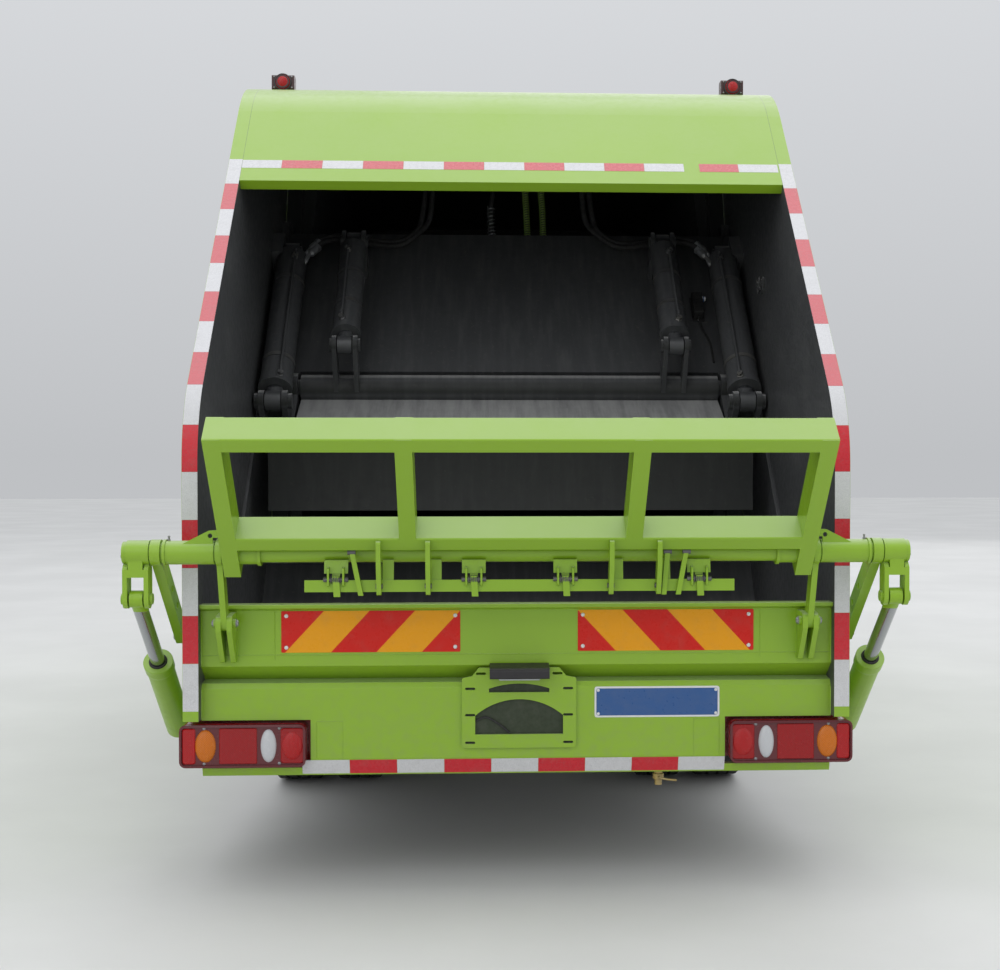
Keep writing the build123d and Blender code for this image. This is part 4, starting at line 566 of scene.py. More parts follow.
class Form:
    """Surfaces gathered into one mesh: points, faces, and for each face its finish."""

    def __init__(self):
        """An empty form."""
        self.points = []
        self.faces = []
        self.finish = []
        self.count = 0

    def add(self, points, quads, finish=0):
        """Take in points and the faces between them."""
        points = np.asarray(points, float).reshape(-1, 3)
        quads = np.asarray(quads, int)
        self.points.append(points)
        self.faces.append(quads + self.count)
        self.finish.append(np.full(len(quads), finish, int))
        self.count += len(points)
        return self

    def grid(self, points, finish=0, close_u=False, close_v=False):
        """Quads between the neighbours of a (u, v) grid of points; close joins its last row to its first."""
        points = np.asarray(points, float)
        n, m = points.shape[:2]
        u = np.arange(n if close_u else n - 1)
        v = np.arange(m if close_v else m - 1)
        a, b = np.meshgrid(u, v, indexing="ij")
        c, d = (a + 1) % n, (b + 1) % m
        quads = np.stack([a * m + b, c * m + b, c * m + d, a * m + d], -1).reshape(-1, 4)
        return self.add(points, quads, finish)

    def sweep(self, rings, finish=0, closed=False, caps=True):
        """A skin over closed rings (n, m, 3) along a path, its ends closed by a fan to their middle."""
        rings = np.asarray(rings, float)
        self.grid(rings, finish, close_u=closed, close_v=True)
        if caps and not closed:
            m = rings.shape[1]
            step = np.arange(m)
            for ring, flip in ((rings[0], True), (rings[-1], False)):
                points = np.vstack([ring, ring.mean(0)])
                after = (step + 1) % m
                tri = np.stack([step, after, np.full(m, m), np.full(m, m)], -1)
                tri = tri[:, [1, 0, 2, 3]] if flip else tri
                self.add(points, tri, finish)
        return self

    def piece(self, name, body, slot, finishes, angle=35):
        """Make the object, smooth up to angle, with its finishes, riding on body if that is named."""
        points = np.vstack(self.points)
        faces = [face[:3] if face[2] == face[3] else face for face in np.vstack(self.faces).tolist()]
        mesh = bpy.data.meshes.new(name)
        mesh.from_pydata(points.tolist(), [], faces)
        for finish in finishes if isinstance(finishes, (list, tuple)) else [finishes]:
            mesh.materials.append(finish)
        mesh.polygons.foreach_set("material_index", np.concatenate(self.finish))
        mesh.validate()
        skin = bmesh.new()
        skin.from_mesh(mesh)
        bmesh.ops.recalc_face_normals(skin, faces=skin.faces)
        skin.to_mesh(mesh)
        skin.free()
        mesh.update()
        obj = bpy.data.objects.new(name, mesh)
        bpy.context.scene.collection.objects.link(obj)
        mesh.shade_smooth()
        mesh.set_sharp_from_angle(angle=radians(angle))
        if body:
            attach(obj, body)
        return obj


def unit(vectors):
    """Each vector at length one."""
    vectors = np.asarray(vectors, float)
    return vectors / np.linalg.norm(vectors, axis=-1, keepdims=True)


def basis(axis):
    """Two directions square to axis."""
    axis = unit(axis)
    helper = np.array([1.0, 0, 0]) if abs(axis[0]) < 0.9 else np.array([0, 1.0, 0])
    side = unit(np.cross(axis, helper))
    return side, np.cross(axis, side)


def lathe(start, axis, profile, sides=32):
    """Rings of a solid of revolution: profile rows (distance along axis, radius)."""
    profile = np.asarray(profile, float)
    side, up = basis(axis)
    turn = np.linspace(0, 2 * pi, sides, endpoint=False)
    circle = np.cos(turn)[:, None] * side + np.sin(turn)[:, None] * up
    return np.asarray(start) + profile[:, :1, None] * unit(axis) + profile[:, 1:, None] * circle[None]


def pin(start, axis, length, radius, sides=14):
    """Rings of a plain round pin with flat ends."""
    return lathe(start, axis, [(0, 0.001), (0, radius), (length, radius), (length, 0.001)], sides)


def frames(path):
    """Directions carried along a path with the least twist: tangent, side, up at each point."""
    path = np.asarray(path, float)
    tangent = unit(np.gradient(path, axis=0))
    side = np.zeros_like(path)
    side[0] = basis(tangent[0])[0]
    for i in range(1, len(path)):
        carried = side[i - 1] - tangent[i] * side[i - 1].dot(tangent[i])
        side[i] = carried / np.linalg.norm(carried)
    return tangent, side, np.cross(tangent, side)


def pipe(path, radius, sides=16):
    """Rings of a round pipe along a path; radius is one number or one for each point."""
    path = np.asarray(path, float)
    _, side, up = frames(path)
    turn = np.linspace(0, 2 * pi, sides, endpoint=False)[None, :, None]
    reach = np.broadcast_to(np.asarray(radius, float), (len(path),))[:, None, None]
    return path[:, None] + reach * (np.cos(turn) * side[:, None] + np.sin(turn) * up[:, None])


def smooth_path(points, steps=12):
    """Catmull-Rom curve through the points."""
    p = np.asarray(points, float)
    p = np.vstack([2 * p[0] - p[1], p, 2 * p[-1] - p[-2]])
    t = np.linspace(0, 1, steps, endpoint=False)[:, None, None]
    a, b, c, d = p[:-3], p[1:-2], p[2:-1], p[3:]
    curve = 0.5 * (2 * b + (c - a) * t + (2 * a - 5 * b + 4 * c - d) * t ** 2
                   + (3 * b - a - 3 * c + d) * t ** 3)
    return np.vstack([curve.transpose(1, 0, 2).reshape(-1, 3), points[-1]])


def bolt_rings(place, axis, size):
    """Hexagon head with a chamfered crown, standing on place along axis; size is across its corners."""
    r = size / 2
    return lathe(place, axis, [(-0.001, r), (0.5 * r, r), (0.68 * r, 0.86 * r), (0.68 * r, 0.02 * r)], 6)


def washer_rings(place, axis, size):
    """Bevelled washer under a bolt head of that size."""
    r = size / 2
    return lathe(place, axis, [(-0.001, r * 1.35), (0.12 * r, r * 1.35), (0.16 * r, r * 1.25),
                               (0.16 * r, r * 0.3)], 20)


def add_bolts(form, places, axis, size, finish=0):
    """A washer and a hexagon head on each place."""
    for place in places:
        form.sweep(washer_rings(place, axis, size), finish)
        form.sweep(bolt_rings(place, axis, size), finish)
    return form


def plate_rings(centre, across, up, out, width, height, thick, corner, bevel=0.0006, arc=5):
    """Rings of a plate with round corners and a small bevel, standing on centre along out."""
    turn = np.linspace(0, pi / 2, arc)
    corners = [(1, 1, 0), (-1, 1, pi / 2), (-1, -1, pi), (1, -1, 3 * pi / 2)]
    rim = []
    for sx, sy, start in corners:
        rim.append(np.stack([sx * (width / 2 - corner) + corner * np.cos(turn + start),
                             sy * (height / 2 - corner) + corner * np.sin(turn + start)], -1))
    rim = np.vstack(rim)
    across, up, out = (np.asarray(v, float) for v in (across, up, out))
    shrink = 1 - 2 * bevel / np.array([width, height])
    levels = ((rim, 0.0), (rim, thick - bevel), (rim * shrink, thick))
    return np.stack([np.asarray(centre) + ring[:, :1] * across + ring[:, 1:] * up + depth * out
                     for ring, depth in levels])


# Pieces of the tailgate

RIGHT, FORWARD, UP = np.eye(3)
REARWARD = -FORWARD
SLOPE_UP = np.array([0, sin(SLOPE), cos(SLOPE)])        # up the leaning edge
SLOPE_OUT = np.array([0, -cos(SLOPE), sin(SLOPE)])      # square to it, outwards


def at(x, y, z):
    """A point given forward from the hopper's rear face and up from the ground, in metres."""
    return np.array([x, y + REAR_Y, z])


def rear_edge(distance, start):
    """Points and outward directions along the tailgate's rear edge, by distance from the height start.

    The edge runs straight up, bends through the knee's arc, then leans forward at the slope.
    """
    upright = KNEE_Z - KNEE_R * tan(SLOPE / 2) - start
    bend = KNEE_R * SLOPE
    turn = np.clip((distance - upright) / KNEE_R, 0, SLOPE)
    straight = np.minimum(distance, upright)
    beyond = np.maximum(distance - upright - bend, 0)
    y = KNEE_R * (1 - np.cos(turn)) + beyond * sin(SLOPE)
    z = start + straight + KNEE_R * np.sin(turn) + beyond * cos(SLOPE)
    flat = np.zeros_like(y)
    points = np.stack([flat, y + REAR_Y, z], -1)
    out = np.stack([flat, -np.cos(turn), np.sin(turn)], -1)
    return points, out


def film(form, path, out, across, width, finish=0):
    """A thin strip on a surface: its section is a flat rectangle carried along the path."""
    path, out = np.asarray(path), np.asarray(out)
    half = np.asarray(across) * width / 2
    rings = np.stack([path - half, path + half, path + half + out * FILM, path - half + out * FILM], 1)
    return form.sweep(rings, finish)


def tape_run(red, white, points_at, across, lengths, first_white=True):
    """Tape segments end to end, white and red in turn; points_at gives points and outward directions."""
    here = 0.0
    for i, length in enumerate(lengths):
        distance = np.linspace(here + TAPE_SEAM, here + length, 9)
        path, out = points_at(distance)
        form = white if (i % 2 == 0) == first_white else red
        film(form, path, out, across, TAPE_WIDTH - TAPE_TRIM)
        here += length


def tapes():
    """Reflective tape round the loading opening and along the rear wall's foot."""
    red, white = Form(), Form()
    for side in (-1, 1):
        def up_edge(distance, side=side):
            """Along the rear edge of one side wall."""
            points, out = rear_edge(distance, SIDE_TAPE_FOOT)
            return points + RIGHT * side * (HALF_WIDTH + INNER_HALF) / 2, out
        tape_run(red, white, up_edge, RIGHT * side, [TAPE_LENGTH] * SIDE_TAPES)

    def over_opening(distance):
        """Across the roof panel's edge above the opening."""
        start = at(-INNER_HALF, (TOP_TAPE_Z - KNEE_Z) * tan(SLOPE), TOP_TAPE_Z)
        flat = np.tile(SLOPE_OUT, (len(distance), 1))
        return start + distance[:, None] * RIGHT, flat
    first = TAPE_LENGTH - TOP_TAPE_TRIM
    runs = [first] + [TAPE_LENGTH] * TOP_TAPES
    tape_run(red, white, over_opening, SLOPE_UP, runs)
    lost = first + TOP_TAPES * TAPE_LENGTH + LOST_TAPE

    def past_gap(distance):
        """The same edge beyond the gap."""
        return over_opening(distance + lost)
    tape_run(red, white, past_gap, SLOPE_UP, [TAPE_LENGTH - 0.002, TAPE_LENGTH], first_white=False)

    foot_up = unit([0, LOWER_Y - FOOT_Y, LOWER_BEND_Z - FOOT_Z])
    foot_out = np.cross(foot_up, RIGHT) * -1

    def along_foot(distance):
        """Across the slanted foot of the lower panel."""
        middle = at(FOOT_TAPE_X, (LOWER_Y + FOOT_Y) / 2, (LOWER_BEND_Z + FOOT_Z) / 2)
        return middle + distance[:, None] * RIGHT, np.tile(foot_out, (len(distance), 1))
    tape_run(red, white, along_foot, foot_up, [TAPE_LENGTH] * FOOT_TAPES)
    red.piece("tape_red", "tailgate", "lamp_red", TAPE_RED)
    white.piece("tape_white", "tailgate", "lamp_clear", TAPE_WHITE)


def plate(form, centre, width, height, thick, corner, out=REARWARD, across=RIGHT, up=UP, finish=0,
          bevel=0.0006):
    """A plate with round corners standing on centre, thick along out."""
    return form.sweep(plate_rings(centre, across, up, out, width, height, thick, corner, bevel), finish)


def screws(form, places, out, size, finish=0):
    """Round-headed screws: a low dome of revolution on each place."""
    r = size / 2
    profile = [(-0.0005, r), (0.15 * r, r), (0.45 * r, 0.8 * r), (0.6 * r, 0.45 * r), (0.64 * r, 0.05 * r)]
    for place in places:
        form.sweep(lathe(place, out, profile, 14), finish)
    return form


def dome(form, centre, across, up, out, half_wide, half_high, height, finish=0, sides=40, steps=9):
    """Half an ellipsoid: rings shrink with the cosine of the rise angle and climb with its sine."""
    turn = np.linspace(0, 2 * pi, sides, endpoint=False)
    rise = np.linspace(0, pi / 2 * 0.97, steps)
    flat = (np.cos(turn)[:, None] * half_wide * np.asarray(across)
            + np.sin(turn)[:, None] * half_high * np.asarray(up))
    rings = (np.asarray(centre) + np.cos(rise)[:, None, None] * flat[None]
             + (np.sin(rise) * height)[:, None, None] * np.asarray(out))
    return form.sweep(rings, finish)


def warning_boards():
    """Two boards with slanted bands under the loading sill, the sign plate, and their screws."""
    for side, name in ((-1, "board_left"), (1, "board_right")):
        board = Form()
        centre = at(side * BOARD_X, WALL_Y, BOARD_Z)
        plate(board, centre, BOARD_WIDTH, BOARD_HEIGHT, BOARD_THICK, 0.004)
        board.piece(name, "tailgate", "lamp_red", BOARD_BANDS)
    heads = Form()

    def corner_screws(x, y, z, width, height, inset, size):
        """A screw in each corner of a plate."""
        places = [at(x + across * (width / 2 - inset), y, z + rise * (height / 2 - inset))
                  for across in (-1, 1) for rise in (-1, 1)]
        screws(heads, places, REARWARD, size)
    for side in (-1, 1):
        corner_screws(side * BOARD_X, WALL_Y - BOARD_THICK, BOARD_Z, BOARD_WIDTH, BOARD_HEIGHT, 0.016, 0.013)
    corner_screws(SIGN_X, LOWER_Y - SIGN_THICK, SIGN_Z, SIGN_WIDTH, SIGN_HEIGHT, 0.012, 0.010)
    heads.piece("board_screws", "tailgate", "grey_metal", WHITE_PLASTIC)
    sign = Form()
    centre = at(SIGN_X, LOWER_Y, SIGN_Z)
    plate(sign, centre, SIGN_WIDTH, SIGN_HEIGHT, SIGN_THICK, 0.008, finish=0)
    plate(sign, centre + REARWARD * (SIGN_THICK - 0.0004), SIGN_WIDTH - 0.012, SIGN_HEIGHT - 0.012, 0.0008,
          0.006, finish=1, bevel=0.0002)
    sign.piece("sign_plate", "tailgate", "grey_metal", [WHITE_PLASTIC, SIGN_BLUE])


def rear_lamp_lenses():
    """Lens of each rear lamp: frame, reflectors, round indicator, reversing lamp and screws."""
    for side, name in ((-1, "lamp_left"), (1, "lamp_right")):
        cover = Form()

        def place(share, height=0.0, side=side):
            """A point on the lens by its share of the length from the outer end."""
            x = LAMP_OUTER - share * LAMP_LENGTH
            return at(side * x, LENS_Y, LAMP_Z + height)
        middle = place(0.5)
        plate(cover, middle + FORWARD * 0.004, LAMP_LENGTH - 0.008, LAMP_HEIGHT - 0.008, 0.0055, 0.016,
              finish=0)
        for share, wide, thick, corner, finish, bevel in ((0.075, 0.105, 0.006, 0.008, 1, 0.003),
                                                          (0.465, 0.30, 0.005, 0.004, 2, 0.002),
                                                          (0.895, 0.19, 0.004, 0.010, 2, 0.003)):
            plate(cover, place(share), LAMP_LENGTH * wide, LAMP_HEIGHT * 0.84, thick, corner, finish=finish,
                  bevel=bevel)
        for share, wide, high, deep, finish in ((0.895, 0.034, 0.046, 0.012, 1),
                                                (0.206, 0.033, 0.052, 0.013, 3),
                                                (0.705, 0.025, 0.053, 0.013, 4)):
            dome(cover, place(share), RIGHT, UP, REARWARD, wide, high, deep, finish=finish)
        rim = []
        for wide, deep in ((0.0, 0.004), (0.0, -0.008), (0.007, -0.009), (0.008, 0.004)):
            ring = plate_rings(middle, RIGHT, UP, REARWARD, LAMP_LENGTH - 2 * wide, LAMP_HEIGHT - 2 * wide,
                               0.001, 0.020 - wide, arc=7)[0]
            rim.append(ring + FORWARD * deep)
        rim.append(rim[0])
        cover.grid(np.array(rim), 0, close_v=True)
        screws(cover, [place(share, height) for share in (0.195, 0.79) for height in (-0.056, 0.056)],
               REARWARD, 0.011, finish=5)
        cover.piece(name, "tailgate", "lamp_red", [LAMP_DARK, LAMP_BRIGHT, LAMP_RIBBED, LAMP_AMBER,
                                                   LAMP_CLEAR, ZINC])


def beacons():
    """Domed red lenses on the two marker lamps at the roof's corners."""
    for x, name in ((-0.930, "beacon_left"), (0.925, "beacon_right")):
        form = Form()
        centre = at(x, 1.489, ROOF_Z + 0.044)
        rim = [(0, 0.0345), (0.006, 0.0345), (0.008, 0.033), (0.008, 0.030), (0.0, 0.030)]
        form.sweep(lathe(centre, REARWARD, rim, 36), 1, caps=False)
        dome(form, centre, RIGHT, UP, REARWARD, 0.031, 0.031, 0.020, 0, steps=12)
        dome(form, centre + UP * 0.0295 + FORWARD * 0.03, RIGHT, FORWARD, UP, 0.030, 0.022, 0.0004, 0)
        screws(form, [centre + RIGHT * dx + UP * dz for dx in (-0.036, 0.036) for dz in (-0.022, 0.022)],
               REARWARD, 0.007, 2)
        form.piece(name, "tailgate", "lamp_red", [LAMP_BRIGHT, TRIM, ZINC])


def weld(form, start, end, radius, finish=0, sides=6):
    """A bead of weld: a thin tube whose radius ripples along its length."""
    start, end = np.asarray(start, float), np.asarray(end, float)
    length = np.linalg.norm(end - start)
    steps = max(6, int(length / 0.006))
    share = np.linspace(0, 1, steps)[:, None]
    path = start + share * (end - start)
    ripple = radius * (1 + 0.12 * np.cos(np.arange(steps) * pi))
    return form.sweep(pipe(path, ripple, sides), finish)


def rear_wall_seams():
    """Weld lines, hatch outline, and drain valve on the rear wall."""
    seams = Form()
    for side in (-1, 1):
        weld(seams, at(side * 0.772, WALL_Y, 0.748), at(side * 0.772, WALL_Y, 0.900), 0.0016)
        weld(seams, at(side * 0.002, WALL_Y, 0.762), at(side * 0.998, WALL_Y, 0.762), 0.0016)
        weld(seams, at(side * 1.0035, WALL_Y, 0.735), at(side * 1.0035, WALL_Y, 0.900), 0.003)
        weld(seams, at(side * 1.0035, LOWER_Y, 0.562), at(side * 1.0035, LOWER_Y, 0.652), 0.003)
        corners = [(0.560, 0.432), (0.560, 0.550), (0.642, 0.550), (0.642, 0.432)]
        for (xa, za), (xb, zb) in zip(corners, corners[1:]):
            weld(seams, at(side * xa, LOWER_Y, za), at(side * xb, LOWER_Y, zb), 0.0012)
    seams.piece("rear_wall_seams", "tailgate", "lime_paint", LIME_OUT)
    valve = Form()
    foot = at(0.452, 0.095, FOOT_Z + 0.002)
    valve.sweep(lathe(foot, -UP, [(0, 0.014), (0.012, 0.014), (0.014, 0.018), (0.030, 0.018), (0.032, 0.012),
                                  (0.050, 0.012), (0.050, 0.001)], 24), 0)
    lever = smooth_path([foot - UP * 0.022 + REARWARD * 0.012, foot - UP * 0.022 + REARWARD * 0.026,
                         foot - UP * 0.026 + REARWARD * 0.034 + RIGHT * 0.02,
                         foot - UP * 0.030 + REARWARD * 0.034 + RIGHT * 0.055], 6)
    valve.sweep(pipe(lever, 0.0035, 10), 0)
    valve.piece("drain_valve", "tailgate", "grey_metal", BRASS)


def lifter_fasteners():
    """Bolts, washers and grease nipples on the lifter's bearings, cranks and rams."""
    axis_y, axis_z = LIFTER_AXIS.y - REAR_Y, LIFTER_AXIS.z
    fixed, moving = Form(), Form()
    for side in (-1, 1):
        out = RIGHT * side
        add_bolts(fixed, [at(side * 1.122, 0.262, 0.800)], out, 0.030)
        add_bolts(fixed, [at(side * (0.916 + 0.034), -0.026, 0.872)], out, 0.020)
        add_bolts(fixed, [at(side * (0.916 - 0.034), -0.026, 0.872)], -out, 0.020)
        add_bolts(fixed, [at(side * 1.187, 0.530, 0.440)], out, 0.026)
        turn = np.linspace(0, 2 * pi, 3, endpoint=False) + pi / 2
        spots = [at(side * 1.207, axis_y + 0.020 * cos(t), axis_z + 0.020 * sin(t)) for t in turn]
        add_bolts(moving, spots, out, 0.012)
        add_bolts(moving, [at(side * 1.2055, -0.110, 0.957)], out, 0.020)
        nipple = at(side * 1.070, axis_y, axis_z + 0.0365)
        profile = [(-0.002, 0.005), (0.004, 0.005), (0.005, 0.0035), (0.010, 0.003), (0.012, 0.0042),
                   (0.015, 0.003), (0.0155, 0.0004)]
        moving.sweep(lathe(nipple, UP, profile, 12), 0)
    fixed.piece("bearing_bolts", "tailgate", "grey_metal", ZINC)
    moving.piece("crank_bolts", "lifter", "grey_metal", ZINC)
    base, tip = at(0, 0.530, 0.440), at(0, -0.110, 0.957)
    way = unit(tip - base)
    glands = Form()
    for side in (-1, 1):
        x = RIGHT * side * 1.166
        collar = [(0.416, 0.0470), (0.418, 0.0478), (0.452, 0.0478), (0.4565, 0.0460), (0.4565, 0.0245),
                  (0.440, 0.0235)]
        glands.sweep(lathe(base + x, way, collar, 48), 0, caps=False)
        wiper = [(0.4560, 0.0300), (0.4610, 0.0285), (0.4625, 0.0240), (0.4600, 0.0232)]
        glands.sweep(lathe(base + x, way, wiper, 40), 1, caps=False)
    glands.piece("ram_glands", "lifter_ram_barrels", "lime_paint", [LIME_OUT, RUBBER_BLACK])


def comb_details():
    """Cheeks, pivot pins and fingers on the comb's hangers, and two leaning hook bars beside them."""
    y0, z0 = LIFTER_AXIS.y - REAR_Y, LIFTER_AXIS.z
    form = Form()
    for x in (-0.560, -0.143, 0.136, 0.546):
        for side in (-1, 1):
            plate(form, at(x + side * 0.020, y0 - 0.050, z0 - 0.072), 0.028, 0.060, 0.006, 0.012,
                  out=RIGHT * side, across=FORWARD, bevel=0.001)
            form.sweep(bolt_rings(at(x + side * 0.032, y0 - 0.054, z0 - 0.080), RIGHT * side, 0.016), 1)
        pivot = at(x, y0 - 0.054, z0 - 0.080)
        form.sweep(pin(pivot - RIGHT * 0.032, RIGHT, 0.064, 0.007), 1)
        flat_bar(form, at(x, y0 - 0.058, z0 - 0.070), at(x + 0.004, y0 - 0.058, z0 - 0.132), RIGHT, 0.020,
                 FORWARD, 0.009)
        form.sweep(coil(np.linspace(pivot - RIGHT * 0.017, pivot + RIGHT * 0.017, 12), 0.0105, 0.0016,
                        0.0050), 1)
    for start, end in ((-0.512, -0.484), (0.506, 0.480), (0.448, 0.436)):
        flat_bar(form, at(start, y0 - 0.060, z0 + 0.010), at(end, y0 - 0.062, z0 - 0.128), RIGHT, 0.015,
                 FORWARD, 0.012)
        form.sweep(pin(at(start - 0.012, y0 - 0.060, z0 + 0.004), RIGHT, 0.024, 0.009), 1)
    for x in (-0.429, -0.281, 0.274, 0.419):
        form.sweep(pin(at(x - 0.0105, y0 - 0.058, z0 - 0.100), RIGHT, 0.021, 0.008), 1)
    form.piece("comb_details", "lifter", "lime_paint", [LIME_OUT, ZINC_DARK])


def cylinder_fittings():
    """Steel pipes and unions along the packer's and tailgate's cylinders."""
    def cylinder_pipe(form, base, way, radius, start, end, off):
        """A pipe beside a cylinder, from start to end along it, off its skin in that direction."""
        size = 0.006
        lift = radius + size + 0.004
        points = [base + way * along + off * high for along, high in (
            (start, radius - 0.002), (start, lift + 0.012), (start + 0.03, lift), (end - 0.05, lift),
            (end - 0.03, lift + 0.010), (end, radius - 0.002))]
        form.sweep(pipe(smooth_path(points, 8), size, 12), 0)
        for spot in (start, end):
            form.sweep(lathe(base + way * spot + off * (radius - 0.003), off,
                             [(0, 0.015), (0.010, 0.015), (0.012, 0.012), (0.024, 0.012), (0.024, 0.001)],
                             6), 1)
        for spot in np.linspace(start + 0.12, end - 0.12, 2):
            band = [(-0.009, radius + 0.001), (-0.009, radius + 0.003), (0.009, radius + 0.003),
                    (0.009, radius + 0.001)]
            form.sweep(lathe(base + way * spot, way, band, 40), 1, closed=True, caps=False)
    slide_foot = at(0, 1.120, 1.604)
    head = slide_foot + SLOPE_UP * 0.900
    form = Form()
    for side in (-1, 1):
        off = unit(SLOPE_OUT - RIGHT * side * 0.35)
        cylinder_pipe(form, head + RIGHT * side * 0.922, -SLOPE_UP, 0.063, 0.10, 0.815, off)
    form.piece("slide_cylinder_pipes", "tailgate", "grey_metal", [HOPPER, ZINC_DARK])
    base = at(0, 1.6901, 2.3047)
    lever = at(0, 1.235, 1.830)
    form = Form()
    for side in (-1, 1):
        cylinder_pipe(form, base + RIGHT * side * 0.657, unit(lever - base), 0.055, 0.13, 0.560,
                      unit(SLOPE_OUT + RIGHT * side * 0.25))
    form.piece("scraper_cylinder_pipes", "scraper_barrels", "grey_metal", [HOPPER, ZINC_DARK])


# Pieces of the packer and its hoses

CROSS_RADIUS, FEED_RADIUS = 0.0125, 0.0095  # of the hoses
SCRAPER_Y, SCRAPER_Z = 1.350, 1.664         # scraper's axis with the carriage raised
JOINT_UP = unit([0, JOINT_HEAD[0] - JOINT_FOOT[0], JOINT_HEAD[1] - JOINT_FOOT[1]])
JOINT_OUT = np.cross(JOINT_UP, RIGHT)       # square to the joint face, forward
CEILING = ROOF_Z - 0.042


def on_slope(x, up, off):
    """A point up the carriage's slope and square to it, forward and down, from the scraper's axis."""
    return at(x, SCRAPER_Y, SCRAPER_Z) + up * SLOPE_UP - off * SLOPE_OUT


def on_joint(x, z, off):
    """A point on the joint face between tailgate and load box, moved forward by off."""
    share = (z - JOINT_FOOT[1]) / (JOINT_HEAD[1] - JOINT_FOOT[1])
    return at(x, JOINT_FOOT[0] + share * (JOINT_HEAD[0] - JOINT_FOOT[0]), z) + off * JOINT_OUT


def flat_bar(form, start, end, side, width, out, thick, finish=0):
    """A rectangle, width along side and thick along out, carried from start to end."""
    side, out = np.asarray(side) * width / 2, np.asarray(out) * thick / 2
    ring = np.array([-side - out, side - out, side + out, -side + out])
    return form.sweep(np.stack([start + ring, end + ring]), finish)


def joint_seals():
    """Return flange and rubber seal down both sides of the joint with the load box."""
    form = Form()
    for side in (-1, 1):
        for x, width, off, thick, finish in ((0.9702, 0.0650, -0.014, 0.005, 0),
                                             (0.9450, 0.0420, -0.0060, 0.011, 1)):
            flat_bar(form, on_joint(side * x, 0.955, off), on_joint(side * x, CEILING - 0.002, off), RIGHT,
                     width, JOINT_OUT, thick, finish)
        corners = ((0.9500, 2.640), (0.9500, CEILING - 0.002), (0.800, CEILING - 0.002), (0.800, 2.805))
        ring = [on_joint(side * x, z, -0.0115) for x, z in corners]
        form.sweep(np.stack([ring, np.array(ring) + 0.0045 * JOINT_OUT]), 0)
    flat_bar(form, on_joint(-0.82, 2.822, -0.0045), on_joint(0.82, 2.822, -0.0045), JOINT_UP, 0.028,
             JOINT_OUT, 0.009, 1)
    form.piece("joint_seals", "tailgate", "black_paint", [HOPPER, RUBBER_BLACK])


def hose(points, radius, rib=0.0, pitch=0.006, sides=12, steps=16):
    """Path and rings of a hose; rib is the height of the waves of its spiral sheath."""
    path = smooth_path(points, steps)
    length = np.concatenate([[0], np.cumsum(np.linalg.norm(np.diff(path, axis=0), axis=1))])
    count = int(length[-1] / (pitch / 3 if rib else 0.012)) + 2
    even = np.linspace(0, length[-1], count)
    path = np.stack([np.interp(even, length, path[:, i]) for i in range(3)], -1)
    reach = radius - rib + rib * np.sin(2 * pi * even / pitch) if rib else np.full(count, radius)
    return path, pipe(path, reach, sides), length[-1]


def coil(path, radius, wire, pitch, start=0.0, end=1.0, sides=6, around=14):
    """Rings of a spiral wire round a path: its centre turns once in each pitch."""
    _, side, up = frames(path)
    length = np.concatenate([[0], np.cumsum(np.linalg.norm(np.diff(path, axis=0), axis=1))])
    low, high = start * length[-1], end * length[-1]
    along = np.linspace(low, high, int((high - low) / pitch * around) + 2)
    middle, side, up = (np.stack([np.interp(along, length, v[:, i]) for i in range(3)], -1)
                        for v in (path, side, up))
    turn = 2 * pi * along / pitch
    spiral = middle + radius * (np.cos(turn)[:, None] * side + np.sin(turn)[:, None] * up)
    return pipe(spiral, wire, sides)


def fitting(form, place, way, radius, finish=0):
    """Hose end: a pressed sleeve with a hexagon nut behind it."""
    form.sweep(lathe(place, way, [(0, radius * 1.1), (0.004, radius * 1.35), (0.034, radius * 1.35),
                                  (0.038, radius * 1.1), (0.044, radius * 0.9)], 20), finish)
    form.sweep(lathe(place - np.asarray(way) * 0.016, way, [(0, radius * 1.5), (0.014, radius * 1.5),
                                                            (0.016, radius * 1.25), (0.017, radius * 0.4)],
                     6), finish)


def cross_hoses():
    """Hoses from the slide cylinders' heads, inwards over the carriage and up to the roof."""
    ends = Form()
    for side, name in ((-1, "left"), (1, "right")):
        for number, (shift, low) in enumerate(((0.0, 0.0), (0.034, 0.026))):
            points = [on_slope(side * 0.838, 0.700 - shift, -0.152),
                      on_slope(side * 0.790, 0.760 - low, -0.156),
                      on_slope(side * 0.690, 0.800 - low, -0.140),
                      on_slope(side * 0.570, 0.792 - low, -0.118),
                      on_slope(side * 0.470, 0.818 - low, -0.096),
                      on_slope(side * 0.400, 0.915 - low, -0.078),
                      on_slope(side * (0.385 - shift), 1.010, -0.058),
                      at(side * (0.372 - shift), 2.055, 2.560),
                      at(side * (0.365 - shift), 2.090, 2.700),
                      at(side * (0.362 - shift), 2.100, CEILING - 0.052)]
            path, rings, length = hose(points, CROSS_RADIUS, rib=0.0012)
            form = Form()
            form.sweep(rings, 0)
            obj = form.piece(f"cross_hose_{name}_{number + 1}", "tailgate", "black_plastic", RUBBER_BLACK)
            start = path[0]
            way = unit(path[0] - path[2])
            fitting(ends, start - way * 0.030, way, CROSS_RADIUS)
            bend = smooth_path([start + way * 0.010, start + way * 0.026,
                                on_slope(side * 0.862, 0.672 - shift * 1.6, -0.142),
                                on_slope(side * 0.880, 0.664 - shift * 1.6, -0.127)], 8)
            ends.sweep(pipe(bend, 0.0095, 12), 0)
            fitting(ends, path[-1] - UP * 0.020, UP, CROSS_RADIUS)
    for side in (-1, 1):
        plate(ends, at(side * 0.345, 2.100, CEILING + 0.002), 0.12, 0.06, 0.012, 0.006, out=-UP, up=FORWARD)
    ends.piece("cross_hose_ends", "tailgate", "grey_metal", [ZINC])


